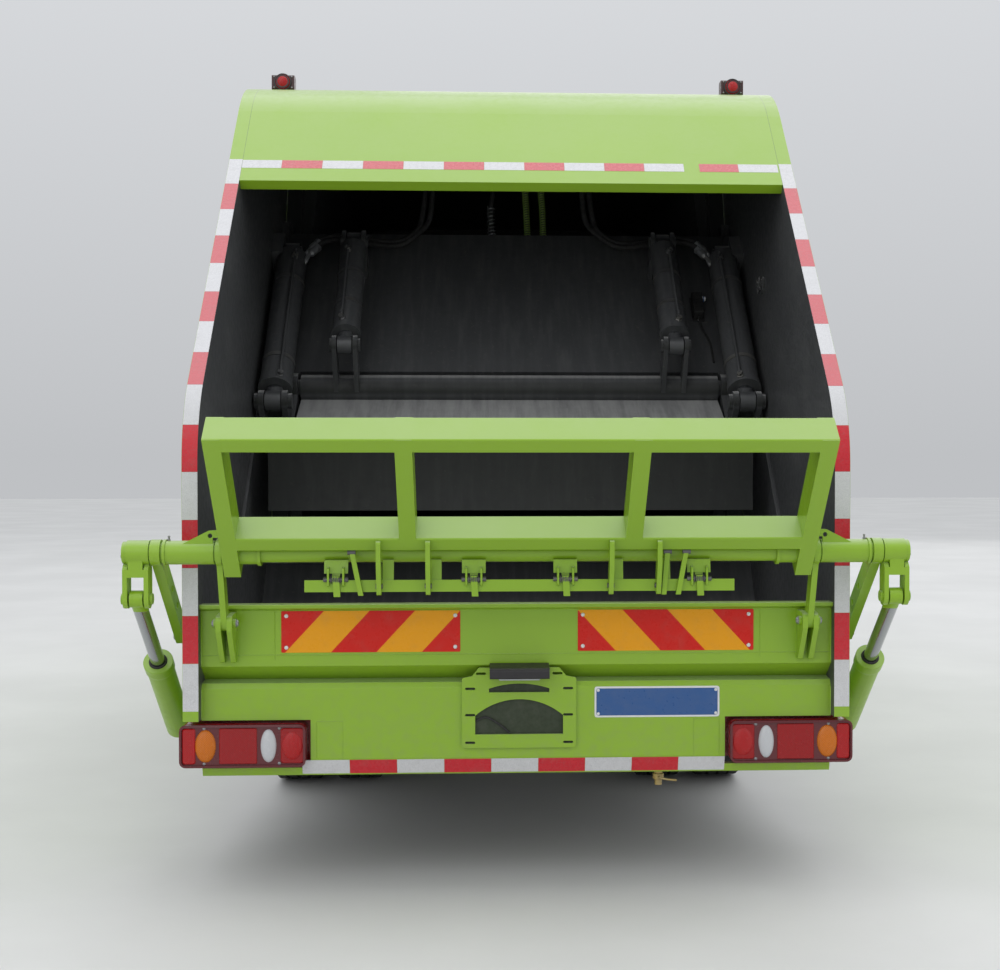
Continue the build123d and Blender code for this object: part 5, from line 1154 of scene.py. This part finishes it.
def feed_hoses():
    """Hoses from the roof down behind the carriage's plate, two of them in green spring guards."""
    ends = Form()
    routes = ((0.075, 0.090, "green_hose_1"), (0.146, 0.162, "green_hose_2"), (-0.062, -0.070, "black_hose"))
    for top, low, name in routes:
        points = [at(top, 2.120, CEILING - 0.050), at(top + 0.004, 2.108, 2.660),
                  at(low - 0.004, 2.070, 2.500), at(low, 2.056, 2.380), on_slope(low, 0.860, 0.075),
                  on_slope(low, 0.720, 0.082), on_slope(low, 0.620, 0.066)]
        path, rings, _ = hose(points, FEED_RADIUS)
        form = Form()
        form.sweep(rings, 0)
        if name == "black_hose":
            guard, spring = ZINC, (0.0170, 0.0024, 0.0170, 0.34, 0.56)
        else:
            guard, spring = LIME_DULL, (0.0128, 0.0030, 0.0110, 0.02, 0.97)
        form.sweep(coil(path, *spring), 1)
        obj = form.piece(name, None, "black_plastic", [RUBBER_BLACK, guard])
        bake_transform(obj)
        fitting(ends, path[0] + UP * 0.002, UP, FEED_RADIUS)
    plate(ends, at(0.045, 2.120, CEILING + 0.002), 0.30, 0.06, 0.012, 0.006, out=-UP, up=FORWARD)
    ends.piece("feed_hose_ends", "tailgate", "grey_metal", [ZINC])
    block = Form()
    plate(block, on_slope(0.045, 0.600, 0.020), 0.30, 0.050, 0.070, 0.004, out=-SLOPE_OUT, up=SLOPE_UP,
          bevel=0.003)
    add_bolts(block, [on_slope(x, 0.600, 0.090) for x in (-0.03, 0.05, 0.125)], -SLOPE_OUT, 0.016, 1)
    block.piece("feed_block", "carriage", "black_paint", [HOPPER, ZINC])


def carriage_fittings():
    """Switch box with its cable on the carriage, and lubrication fitting on the side wall."""
    box = Form()
    plate(box, on_slope(0.803, 0.463, -0.020), 0.044, 0.128, 0.048, 0.006, out=SLOPE_OUT, up=SLOPE_UP,
          bevel=0.004)
    plate(box, on_slope(0.803, 0.463, -0.020), 0.054, 0.150, 0.004, 0.004, out=SLOPE_OUT, up=SLOPE_UP)
    box.sweep(lathe(on_slope(0.824, 0.505, -0.045), RIGHT,
                    [(0, 0.012), (0.008, 0.012), (0.009, 0.010), (0.016, 0.010), (0.018, 0.008),
                     (0.018, 0.001)], 20), 1)
    box.sweep(lathe(on_slope(0.830, 0.505, -0.045), RIGHT, [(0, 0.0126), (0.004, 0.0126), (0.004, 0.008)],
                    20), 2)
    add_bolts(box, [on_slope(0.803, 0.463 + dz, -0.023) for dz in (-0.069, 0.069)], SLOPE_OUT, 0.009, 3)
    cable = smooth_path([on_slope(0.803, 0.400, -0.040), on_slope(0.803, 0.380, -0.042),
                         on_slope(0.812, 0.330, -0.032), on_slope(0.836, 0.250, -0.027),
                         on_slope(0.840, 0.130, -0.026)], 10)
    box.sweep(pipe(cable, 0.0045, 10), 0)
    box.piece("switch_box", "carriage", "black_plastic", [RUBBER_BLACK, WHITE_PLASTIC, SIGN_BLUE, ZINC])
    nipple = Form()
    spot = at(INNER_HALF, 1.211, 2.072)
    nipple.sweep(lathe(spot, -RIGHT, [(-0.001, 0.034), (0.006, 0.034), (0.008, 0.031), (0.008, 0.016),
                                      (0.020, 0.016), (0.022, 0.013), (0.028, 0.013), (0.028, 0.001)], 28), 0)
    for turn in range(4):
        way = FORWARD * cos(turn * pi / 2 + 0.6) + UP * sin(turn * pi / 2 + 0.6)
        nipple.sweep(lathe(spot - RIGHT * 0.017, way, [(0.010, 0.0055), (0.030, 0.0055), (0.032, 0.0040),
                                                      (0.038, 0.0040), (0.038, 0.0005)], 10), 1)
    add_bolts(nipple, [spot - RIGHT * 0.008 + UP * 0.025 * sin(a) + FORWARD * 0.025 * cos(a)
                       for a in (0.0, 2.1, 4.2)], -RIGHT, 0.008, 1)
    nipple.piece("wall_fitting", "tailgate", "grey_metal", [HOPPER, ZINC_DARK])


def bracket_details():
    """Painted shade: a dark sheet behind the plate carrier's windows; and the lens under its hood."""
    form = Form()
    # painted shade: a thin dark sheet seen only through the plate carrier's windows
    plate(form, at(0, LOWER_Y, 0.575), 0.350, 0.214, 0.0007, 0.004, finish=0, bevel=0.0002)
    plate(form, at(0, 0.002, 0.6895), 0.130, 0.030, 0.0045, 0.004, out=-UP, up=FORWARD, finish=1, bevel=0.001)
    cable = smooth_path([at(-0.139, 0.0415, 0.548), at(-0.105, 0.0405, 0.560), at(-0.060, 0.0405, 0.535),
                         at(-0.030, 0.0405, 0.509)], 10)
    form.sweep(pipe(cable, 0.0032, 8), 2)
    form.piece("bracket_details", "tailgate", "black_plastic", [SHADE_AND_SEAM_DARK, LAMP_CLEAR, RUBBER_BLACK])


# Pieces of the wheels

AXLE_Z = 0.402
FRONT_Y, REAR_AXLE = 5.450, 1.790
HUB_X, TWIN = 0.8925, 0.254
TREAD_STEPS = 240


def tyre_points(centre):
    """One tyre as a grid: rows across its outline, columns round it.

    Three grooves follow a zigzag round the tread: a row's place across it is its own place plus a
    triangle wave of the angle. Slots cut the shoulders at every fifth column.
    """
    turn = np.linspace(0, 2 * pi, TREAD_STEPS, endpoint=False)
    wave = np.abs((turn * 20 / pi) % 2 - 1) * 2 - 1
    slot = (np.arange(TREAD_STEPS) % 5 < 2).astype(float)
    wall = [(0.0785, 0.2036, 0, 0), (0.0785, 0.2160, 0, 0), (0.0820, 0.2215, 0, 0), (0.0842, 0.2235, 0, 0),
            (0.0862, 0.2232, 0, 0), (0.0900, 0.2310, 0, 0), (0.0968, 0.2440, 0, 0), (0.1030, 0.2610, 0, 0),
            (0.1062, 0.2800, 0, 0), (0.1070, 0.2960, 0, 0), (0.1075, 0.2980, 0, 0), (0.1075, 0.3010, 0, 0),
            (0.1068, 0.3040, 0, 0), (0.1052, 0.3250, 0, 0), (0.1025, 0.3480, 0, 0), (0.1005, 0.3600, 0, 0.0),
            (0.0996, 0.3660, 0, 0.005), (0.0970, 0.3790, 0, 0.008), (0.0920, 0.3920, 0, 0.009),
            (0.0840, 0.4010, 0, 0.009), (0.0780, 0.4018, 0, 0.009), (0.0715, 0.4020, 0, 0.008),
            (0.0690, 0.4020, 0, 0)]
    tread = []
    for groove in (0.044, 0.0, -0.044):
        tread += [(groove + 0.0190, 0.4020, 0.4, 0), (groove + 0.0060, 0.4020, 1, 0),
                  (groove + 0.0038, 0.3910, 1, 0), (groove - 0.0038, 0.3910, 1, 0),
                  (groove - 0.0060, 0.4020, 1, 0), (groove - 0.0190, 0.4020, 0.4, 0)]
    rows = np.array(wall + tread + [(-x, r, zig, cut) for x, r, zig, cut in reversed(wall)])
    across = rows[:, 0, None] + 0.0045 * rows[:, 2, None] * wave[None]
    reach = rows[:, 1, None] - rows[:, 3, None] * slot[None]
    return np.stack([centre[0] + across, centre[1] + reach * np.cos(turn), centre[2] + reach * np.sin(turn)],
                    -1)


def tyres():
    """Tyres with tread, in place of the plain ones."""
    for side, name in ((-1, "left"), (1, "right")):
        form = Form()
        form.grid(tyre_points(at(side * HUB_X, FRONT_Y, AXLE_Z)), 0, close_v=True)
        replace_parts(form.piece(f"tread_front_{name}", f"front_wheel_{name}", "tyre", TYRE, angle=40),
                    NODES[f"front_tyre_{name}"].name)
        form = Form()
        for x in (HUB_X, HUB_X - TWIN):
            form.grid(tyre_points(at(side * x, REAR_AXLE, AXLE_Z)), 0, close_v=True)
        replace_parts(form.piece(f"treads_rear_{name}", f"rear_wheels_{name}", "tyre", TYRE, angle=40),
                    NODES[f"rear_tyres_{name}"].name)


def ring_of(centre, radius, count, start=0.0):
    """Places on a circle round the axle's direction."""
    turn = np.linspace(0, 2 * pi, count, endpoint=False) + start
    return [centre + FORWARD * radius * cos(t) + UP * radius * sin(t) for t in turn]


def valve_stem(form, side, y, *rows):
    """A bent stem; rows give its places across and above the axle."""
    form.sweep(pipe(smooth_path([at(side * x, y, AXLE_Z + up) for x, up in rows], 6), 0.004, 8), 1)


def wheel_fasteners():
    """Wheel nuts, hub bolts, valves and balance weights."""
    for side, name in ((-1, "left"), (1, "right")):
        out = RIGHT * side
        front = Form()
        add_bolts(front, ring_of(at(side * 0.9965, FRONT_Y, AXLE_Z), 0.092, 6), out, 0.031)
        add_bolts(front, ring_of(at(side * 1.0045, FRONT_Y, AXLE_Z), 0.030, 5), out, 0.010)
        valve_stem(front, side, FRONT_Y, (0.945, 0.178), (0.962, 0.172), (0.978, 0.158))
        plate(front, at(side * 0.9725, FRONT_Y - 0.10, AXLE_Z - 0.165), 0.060, 0.012, 0.006, 0.004,
              out=unit([0, 0.52, 0.86]), across=unit([0, 0.86, -0.52]), up=out, finish=0, bevel=0.002)
        front.piece(f"front_nuts_{name}", f"front_wheel_{name}", "grey_metal", [ZINC, RUBBER_BLACK])
        rear = Form()
        add_bolts(rear, ring_of(at(side * 0.8005, REAR_AXLE, AXLE_Z), 0.107, 6), out, 0.028)
        add_bolts(rear, ring_of(at(side * 0.8615, REAR_AXLE, AXLE_Z), 0.048, 8), out, 0.013)
        valve_stem(rear, side, REAR_AXLE, (0.828, 0.180), (0.850, 0.172), (0.890, 0.150))
        rear.piece(f"rear_nuts_{name}", f"rear_wheels_{name}", "grey_metal", [ZINC, RUBBER_BLACK])


def spring_bolts():
    """U-bolts over the leaf springs, with their nuts under the axles."""
    form = Form()
    for y, seat, leaves, low in ((FRONT_Y, 0.410, 4, 0.062), (REAR_AXLE, 0.478, 5, 0.155)):
        top = seat + 0.011 * leaves + 0.014
        for side in (-1, 1):
            for dy in (-0.044, 0.044):
                inner, outer = side * 0.394, side * 0.466
                foot = seat - low
                bend = side * 0.010
                rise = [at(x, y + dy, z) for x, z in (
                    (inner, foot), (inner, top - 0.010), (inner + bend, top + 0.004),
                    (outer - bend, top + 0.004), (outer, top - 0.010), (outer, foot))]
                form.sweep(pipe(smooth_path(rise, 6), 0.0075, 10), 0)
                add_bolts(form, [at(inner, y + dy, foot + 0.012), at(outer, y + dy, foot + 0.012)], -UP,
                          0.024)
    form.piece("spring_bolts", "chassis", "grey_metal", ZINC_DARK)


# Pieces of the cab and chassis

SCREEN_FOOT = (6.440, 1.440)
SCREEN_UP = unit([0, -0.420, 0.850])
SCREEN_OUT = np.cross(SCREEN_UP, RIGHT)


def on_screen(x, up, off):
    """A point up the windscreen from its foot and off its glass, outwards."""
    return at(x, *SCREEN_FOOT) + up * SCREEN_UP + off * SCREEN_OUT


def wipers():
    """Two wipers: spindle cap, bent arm, and blade with its rubber lip."""
    form = Form()
    lean = 0.30
    for x in (-0.62, 0.02):
        foot = on_screen(x, 0.020, 0.000)
        form.sweep(lathe(foot, SCREEN_OUT, [(-0.01, 0.020), (0.012, 0.019), (0.018, 0.014), (0.019, 0.001)],
                         20), 0)
        middle = on_screen(x + lean, 0.240, 0.012)
        arm = smooth_path([foot + SCREEN_OUT * 0.010, on_screen(x + lean * 0.3, 0.080, 0.018),
                           on_screen(x + lean * 0.8, 0.190, 0.020), middle], 8)
        form.sweep(pipe(arm, 0.006, 8), 0)
        way = unit(RIGHT + SCREEN_UP * 0.36)
        side = np.cross(SCREEN_OUT, way)
        flat_bar(form, middle - way * 0.29, middle + way * 0.29, side, 0.012, SCREEN_OUT, 0.009, 0)
        flat_bar(form, middle - way * 0.29 - SCREEN_OUT * 0.010, middle + way * 0.29 - SCREEN_OUT * 0.010,
                 side, 0.003, SCREEN_OUT, 0.012, 1)
    form.piece("wipers", "cab", "black_plastic", [TRIM, RUBBER_BLACK])


def mirror_glasses():
    """Mirror faces in their housings, a large one above a wide-angle one."""
    form = Form()
    for side in (-1, 1):
        plate(form, at(side * 1.105, 6.455, 1.800), 0.145, 0.230, 0.002, 0.016, finish=0)
        plate(form, at(side * 1.105, 6.455, 1.625), 0.145, 0.100, 0.002, 0.016, finish=0)
    form.piece("mirror_glasses", "cab", "piston_rod", [MIRROR])


def rounded(corners, steps=7):
    """Closed outline from rows (across, up, size): each corner is a parabola between its two sides."""
    rows = np.asarray(corners, float)
    spot = rows[:, :2]
    to_next = unit(np.roll(spot, -1, 0) - spot)
    to_last = unit(np.roll(spot, 1, 0) - spot)
    share = np.linspace(0, 1, steps)[None, :, None]
    size = rows[:, 2, None, None]
    start, end = spot[:, None] + size * to_last[:, None], spot[:, None] + size * to_next[:, None]
    return ((1 - share) ** 2 * start + 2 * share * (1 - share) * spot[:, None]
            + share ** 2 * end).reshape(-1, 2)


def loop(form, path, radius, finish=0, sides=8):
    """A closed round bead along an outline."""
    path = np.asarray(path, float)
    tangent = unit(np.roll(path, -1, 0) - np.roll(path, 1, 0))
    out = unit(np.cross(path[5] - path[0], path[15] - path[0]))
    side = unit(np.cross(out, tangent))
    turn = np.linspace(0, 2 * pi, sides, endpoint=False)
    rings = path[:, None] + radius * (np.cos(turn)[None, :, None] * side[:, None]
                                      + np.sin(turn)[None, :, None] * out)
    return form.sweep(rings, finish, closed=True)


def screen_seals():
    """Rubber beads round the windscreen and the back window, and seams of the front's lid."""
    form = Form()

    def outline(low, high):
        """Four bent corners from rows (half width, height, size) for the lower and the upper pair."""
        (wide, z, size), (top_wide, top, top_size) = low, high
        return rounded([(-wide, z, size), (wide, z, size), (top_wide, top, top_size),
                        (-top_wide, top, top_size)])
    screen = outline((0.878, 0.069, 0.07), (0.829, 0.812, 0.10))
    loop(form, [on_screen(x, up, -0.006) for x, up in screen], 0.0095)
    back = outline((0.598, 1.602, 0.06), (0.598, 2.078, 0.06))
    loop(form, [at(x, 4.952, z) for x, z in back], 0.0075)
    lid = outline((0.790, 1.150, 0.03), (0.790, 1.272, 0.03))
    loop(form, [at(x, 6.4797, z) for x, z in lid], 0.0020, 1, 6)
    form.piece("screen_seals", "cab", "black_plastic", [RUBBER_BLACK, SHADE_AND_SEAM_DARK])


def front_details():
    """Reflectors and indicators in the headlamps, grille trim, bare front plate, side reflectors."""
    form = Form()
    for side in (-1, 1):
        for x in (0.708, 0.794):
            centre = at(side * x, 6.4855, 0.963)
            ring = [(-0.006, 0.0410), (0.004, 0.0410), (0.006, 0.0395), (0.006, 0.0365), (0.0, 0.0355)]
            form.sweep(lathe(centre, FORWARD, ring, 40), 0, caps=False)
            dome(form, centre, RIGHT, UP, FORWARD, 0.0365, 0.0365, 0.0085, 1)
            form.sweep(lathe(centre + FORWARD * 0.0075, FORWARD,
                             [(0, 0.012), (0.0022, 0.011), (0.0028, 0.001)], 24), 0)
        plate(form, at(side * 0.640, 6.4855, 0.960), 0.036, 0.092, 0.0045, 0.008, out=FORWARD, finish=2,
              bevel=0.002)
        dome(form, at(side * 0.9985, 5.215, 1.190), FORWARD, UP, RIGHT * side, 0.034, 0.017, 0.013, 2)
        plate(form, at(side * 0.9975, 5.215, 1.190), 0.080, 0.044, 0.0030, 0.012, out=RIGHT * side,
              across=FORWARD, finish=3)
    for z in (1.106, 0.874):
        plate(form, at(0, 6.4925, z), 1.060, 0.011, 0.004, 0.004, out=FORWARD, finish=0, bevel=0.001)
    form.piece("front_details", "cab", "grey_metal", [CHROME, LAMP_CLEAR, LAMP_AMBER, TRIM])
    lower = Form()
    plate(lower, at(0, 6.5728, 0.580), 0.436, 0.108, 0.0016, 0.006, out=FORWARD, finish=0)
    screws(lower, [at(x, 6.5742, z) for x in (-0.19, 0.19) for z in (0.545, 0.615)], FORWARD, 0.012, 1)
    for side in (-1, 1):
        for y in (2.62, 3.38, 4.28):
            plate(lower, at(side * 0.9600, y, 0.710), 0.085, 0.030, 0.004, 0.006, out=RIGHT * side,
                  across=FORWARD, finish=2, bevel=0.0015)
    lower.piece("chassis_details", "chassis", "grey_metal", [WHITE_PLASTIC, ZINC, LAMP_AMBER])


def pad_rings(centre, wide, deep, up, half, crown, pull):
    """A stuffed form as rings across its width.

    A ring is a superellipse, its depth and height to the power 2/5. Rings shrink to the ends by the
    eighth root of one minus the eighth power of their place. The upper half rises by crown times one
    minus the squares of both places, and the sides are drawn in by pull between the corners.
    """
    place = np.sin(np.linspace(-1, 1, 84) * pi / 2) * 0.9995
    turn = np.linspace(0, 2 * pi, 88, endpoint=False)
    along = np.sign(np.cos(turn)) * np.abs(np.cos(turn)) ** 0.4
    rise = np.sign(np.sin(turn)) * np.abs(np.sin(turn)) ** 0.4
    shrink = (1 - np.abs(place) ** 8) ** 0.125
    depth = half[1] * shrink[:, None] * along[None] * (1 - pull * (1 - place[:, None] ** 2))
    height = half[2] * shrink[:, None] * rise[None]
    swell = crown * (1 - place[:, None] ** 2) * (1 - along[None] ** 2) * (rise[None] > 0)
    side = half[0] * place[:, None] * np.ones_like(depth) * (1 - pull * (1 - along[None] ** 2))
    return (np.asarray(centre) + side[..., None] * wide + depth[..., None] * deep
            + (height + swell)[..., None] * up)


SEAT_VOXEL = 0.009
SEAT_CAP = 0.010                # furthest that a point of a pad may move
SEAT_PRESSURE = 4
SEAT_STEPS = 20


def swell(obj):
    """Fill a pad: its skin as cloth under inner pressure, with no point moved further than the cap."""
    scene = bpy.context.scene
    remesh = obj.modifiers.new("even", "REMESH")
    remesh.mode = "VOXEL"
    remesh.voxel_size = SEAT_VOXEL
    even = bpy.data.meshes.new_from_object(obj.evaluated_get(bpy.context.evaluated_depsgraph_get()))
    obj.modifiers.clear()
    obj.data = even
    before = np.empty(len(even.vertices) * 3)
    even.vertices.foreach_get("co", before)
    cloth = obj.modifiers.new("fill", "CLOTH")
    cloth.settings.use_pressure = True
    cloth.settings.uniform_pressure_force = SEAT_PRESSURE
    cloth.settings.effector_weights.gravity = 0
    for step in range(1, SEAT_STEPS + 1):
        scene.frame_set(step)
    filled = obj.evaluated_get(bpy.context.evaluated_depsgraph_get()).to_mesh()
    after = np.empty_like(before)
    filled.vertices.foreach_get("co", after)
    obj.modifiers.clear()
    scene.frame_set(1)
    move = (after - before).reshape(-1, 3)
    far = np.linalg.norm(move, axis=1, keepdims=True)
    move = move * np.minimum(1, SEAT_CAP / np.maximum(far, 1e-9))
    even.vertices.foreach_set("co", (before.reshape(-1, 3) + move).ravel())
    even.update()


def sew(obj, centre, wide, up, seams, dip, reach):
    """Press sewn channels into a pad's upper side: each sinks by dip along up, over reach to each side."""
    mesh = obj.data
    points = np.empty(len(mesh.vertices) * 3)
    mesh.vertices.foreach_get("co", points)
    points = points.reshape(-1, 3)
    across = (points - centre) @ wide
    above = np.clip((points - centre) @ up / 0.02, 0, 1)
    sink = sum(np.exp(-((across - seam) / reach) ** 2) for seam in seams)
    points = points - (above * dip * np.minimum(sink, 1))[:, None] * up
    mesh.vertices.foreach_set("co", points.ravel())
    mesh.update()
    mesh.shade_smooth()


def seat_pads():
    """Padded cushion and backrest of the driver's seat and of the double seat."""
    lean = unit([0, -0.105, 0.655])
    ahead = np.cross(RIGHT, lean) * -1
    made = []
    for x0, x1, name, seams in ((-0.760, -0.260, "driver", (-0.15, 0.15)),
                                (-0.060, 0.760, "double", (-0.27, -0.06, 0.06, 0.27))):
        middle, half = (x0 + x1) / 2, (x1 - x0) / 2 - 0.010
        cushion = at(middle, 5.4225, 1.2085)
        back = at(middle, 5.1400, 1.5900)
        for part, centre, deep, up, size in (("cushion", cushion, FORWARD, UP, (half, 0.285, 0.048)),
                                             ("backrest", back, lean, ahead, (half, 0.300, 0.046))):
            form = Form()
            form.sweep(pad_rings(centre, RIGHT, deep, up, size, crown=0.012, pull=0.018), 0)
            obj = form.piece(f"{name}_{part}", "cab", "seat_fabric", FABRIC, angle=80)
            swell(obj)
            sew(obj, centre, RIGHT, up, seams, 0.011, 0.012)
            made.append(obj)
    for obj in made:
        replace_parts(obj, "seats")


def door_fittings():
    """Lock cylinders and window rubbers on the doors."""
    for side, name in ((-1, "left"), (1, "right")):
        out = RIGHT * side
        form = Form()
        form.sweep(lathe(at(side * 1.0005, 5.455, 1.300), out,
                         [(0, 0.011), (0.004, 0.011), (0.005, 0.008), (0.004, 0.006), (0.004, 0.0005)],
                         18), 0)
        for z in (1.462, 1.470):
            x = side * (0.9985 - (z - 1.45) * 0.074)
            flat_bar(form, at(x, 5.400, z), at(x, 6.170, z), UP, 0.006, RIGHT, 0.004, 1)
        form.piece(f"door_fittings_{name}", f"door_{name}", "black_plastic", [ZINC, RUBBER_BLACK])


def band(form, x, z, width, height, corner, y0, y1, grow=0.003):
    """A steel strap round a rounded box: its outline grown a little, between two lengths."""
    inner, outer = (plate_rings(at(x, 0, z), RIGHT, UP, FORWARD, width + 2 * more, height + 2 * more, 0.001,
                                corner + more, arc=9)[0] for more in (0, grow))
    rings = [inner + FORWARD * y0, outer + FORWARD * y0, outer + FORWARD * y1, inner + FORWARD * y1]
    return form.grid(np.array(rings), 0, close_v=True)


def tank_fittings():
    """Straps, filler caps and battery lid details on the chassis sides."""
    form = Form()
    for y in (2.860, 3.340):
        band(form, 0.665, 0.570, 0.390, 0.340, 0.060, y, y + 0.040)
    for y in (2.860, 3.240):
        band(form, -0.665, 0.595, 0.390, 0.330, 0.030, y, y + 0.040)
    cap = [(0, 0.040), (0.010, 0.040), (0.012, 0.046), (0.034, 0.046), (0.038, 0.040), (0.040, 0.001)]
    form.sweep(lathe(at(0.820, 3.110, 0.716), unit([0.72, 0, 0.70]), cap, 30), 1)
    form.sweep(lathe(at(-0.760, 3.060, 0.758), UP, cap, 30), 1)
    add_bolts(form, [at(-0.862, y, z) for y in (3.60, 4.02) for z in (0.48, 0.68)], -RIGHT, 0.012)
    flat_bar(form, at(-0.863, 3.70, 0.700), at(-0.863, 3.92, 0.700), UP, 0.020, RIGHT, 0.006, 0)
    form.piece("tank_fittings", "chassis", "grey_metal", [ZINC, TRIM])


def box_welds():
    """Weld seams along the load box's ribs, and bolts of the side guards."""
    form = Form()
    for side in (-1, 1):
        for y in (2.750, 2.820, 3.450, 3.520, 4.150, 4.220):
            weld(form, at(side * 0.919, y, 0.960), at(side * 0.9445, y, 1.500), 0.0028)
        add_bolts(form, [at(side * 0.960, y, z) for y in (2.505, 4.325) for z in (0.530, 0.710)],
                  RIGHT * side, 0.016, 1)
    form.piece("box_welds", "chassis", "lime_paint", [LIME_OUT, ZINC])


# Stage

CAMERA_LENS = 53.4
CAMERA_SHIFT = -0.05
CAMERA_YAW = 2.69               # degrees, towards the truck's right
CAMERA_PITCH = 1.17             # degrees, downwards
CAMERA_PLACE = (-0.123, -4.671, 1.396)      # from the middle of the hopper's rear edge
SENSOR_WIDTH = 36
VIEW_END = 200
FLOOR_HALF = 40
FLOOR_PALE, FLOOR_DULL, FLOOR_BRIGHT = (0.62, 0.62, 0.61), (0.60, 0.60, 0.59), (0.66, 0.66, 0.65)
SKY_COLOUR = (0.84, 0.86, 0.89, 1)
SKY_LOW, SKY_HIGH = 0.62, 1.25              # strength near the ground and overhead
AREA_LIGHTS = (                             # name, place, size, power
    ("above", (0, -1, 10), 13, 430),
    ("key", (-7, -14, 8), 13, 430),
    ("fill", (10, -8, 6), 12, 160),
    ("front", (5, 14, 8), 13, 300),
)
LIGHTS_AIM = Vector((0, 0, 1.2))


def stage():
    """Camera behind the truck, pale floor, soft lights."""
    camera = bpy.data.cameras.new("camera")
    camera.lens = CAMERA_LENS
    camera.sensor_width = SENSOR_WIDTH
    camera.sensor_fit = "HORIZONTAL"
    camera.shift_x = CAMERA_SHIFT
    camera.clip_end = VIEW_END
    eye = bpy.data.objects.new("camera", camera)
    eye.location = (CAMERA_PLACE[0], CAMERA_PLACE[1] + REAR_Y, CAMERA_PLACE[2])
    eye.rotation_euler = (radians(90 - CAMERA_PITCH), 0, -radians(CAMERA_YAW))
    bpy.context.scene.collection.objects.link(eye)
    bpy.context.scene.camera = eye
    mesh = bpy.data.meshes.new("floor")
    corners = [(x * FLOOR_HALF, y * FLOOR_HALF, 0) for x, y in ((-1, -1), (1, -1), (1, 1), (-1, 1))]
    mesh.from_pydata(corners, [], [(0, 1, 2, 3)])
    floor = bpy.data.objects.new("floor", mesh)
    bpy.context.scene.collection.objects.link(floor)
    pale = Shader("floor", FLOOR_PALE, 0.75)
    pale.paint(pale.mix(pale.ramp(pale.noise(0.8, 5), 0.3, 0.8), FLOOR_DULL, FLOOR_BRIGHT))
    mesh.materials.append(pale.material)
    world = bpy.data.worlds.new("studio")
    world.use_nodes = True
    sky = world.node_tree.nodes["Background"]
    sky.inputs["Color"].default_value = SKY_COLOUR
    nodes, links = world.node_tree.nodes, world.node_tree.links
    spot = nodes.new("ShaderNodeTexCoord")
    parts = nodes.new("ShaderNodeSeparateXYZ")
    rise = nodes.new("ShaderNodeMapRange")
    rise.inputs["To Min"].default_value = SKY_LOW
    rise.inputs["To Max"].default_value = SKY_HIGH
    links.new(spot.outputs["Generated"], parts.inputs[0])
    links.new(parts.outputs[2], rise.inputs["Value"])
    links.new(rise.outputs["Result"], sky.inputs["Strength"])
    bpy.context.scene.world = world
    for name, place, size, power in AREA_LIGHTS:
        light = bpy.data.lights.new(name, "AREA")
        light.energy = power
        light.size = size
        lamp = bpy.data.objects.new(name, light)
        lamp.location = place
        lamp.rotation_euler = (LIGHTS_AIM - Vector(place)).to_track_quat("-Z", "Y").to_euler()
        bpy.context.scene.collection.objects.link(lamp)
    bpy.context.scene.view_settings.view_transform = "Standard"


dress_nodes()
tapes()
warning_boards()
rear_lamp_lenses()
beacons()
rear_wall_seams()
lifter_fasteners()
comb_details()
cylinder_fittings()
joint_seals()
cross_hoses()
feed_hoses()
carriage_fittings()
bracket_details()
tyres()
wheel_fasteners()
spring_bolts()
wipers()
mirror_glasses()
screen_seals()
front_details()
seat_pads()
door_fittings()
tank_fittings()
box_welds()
stage()
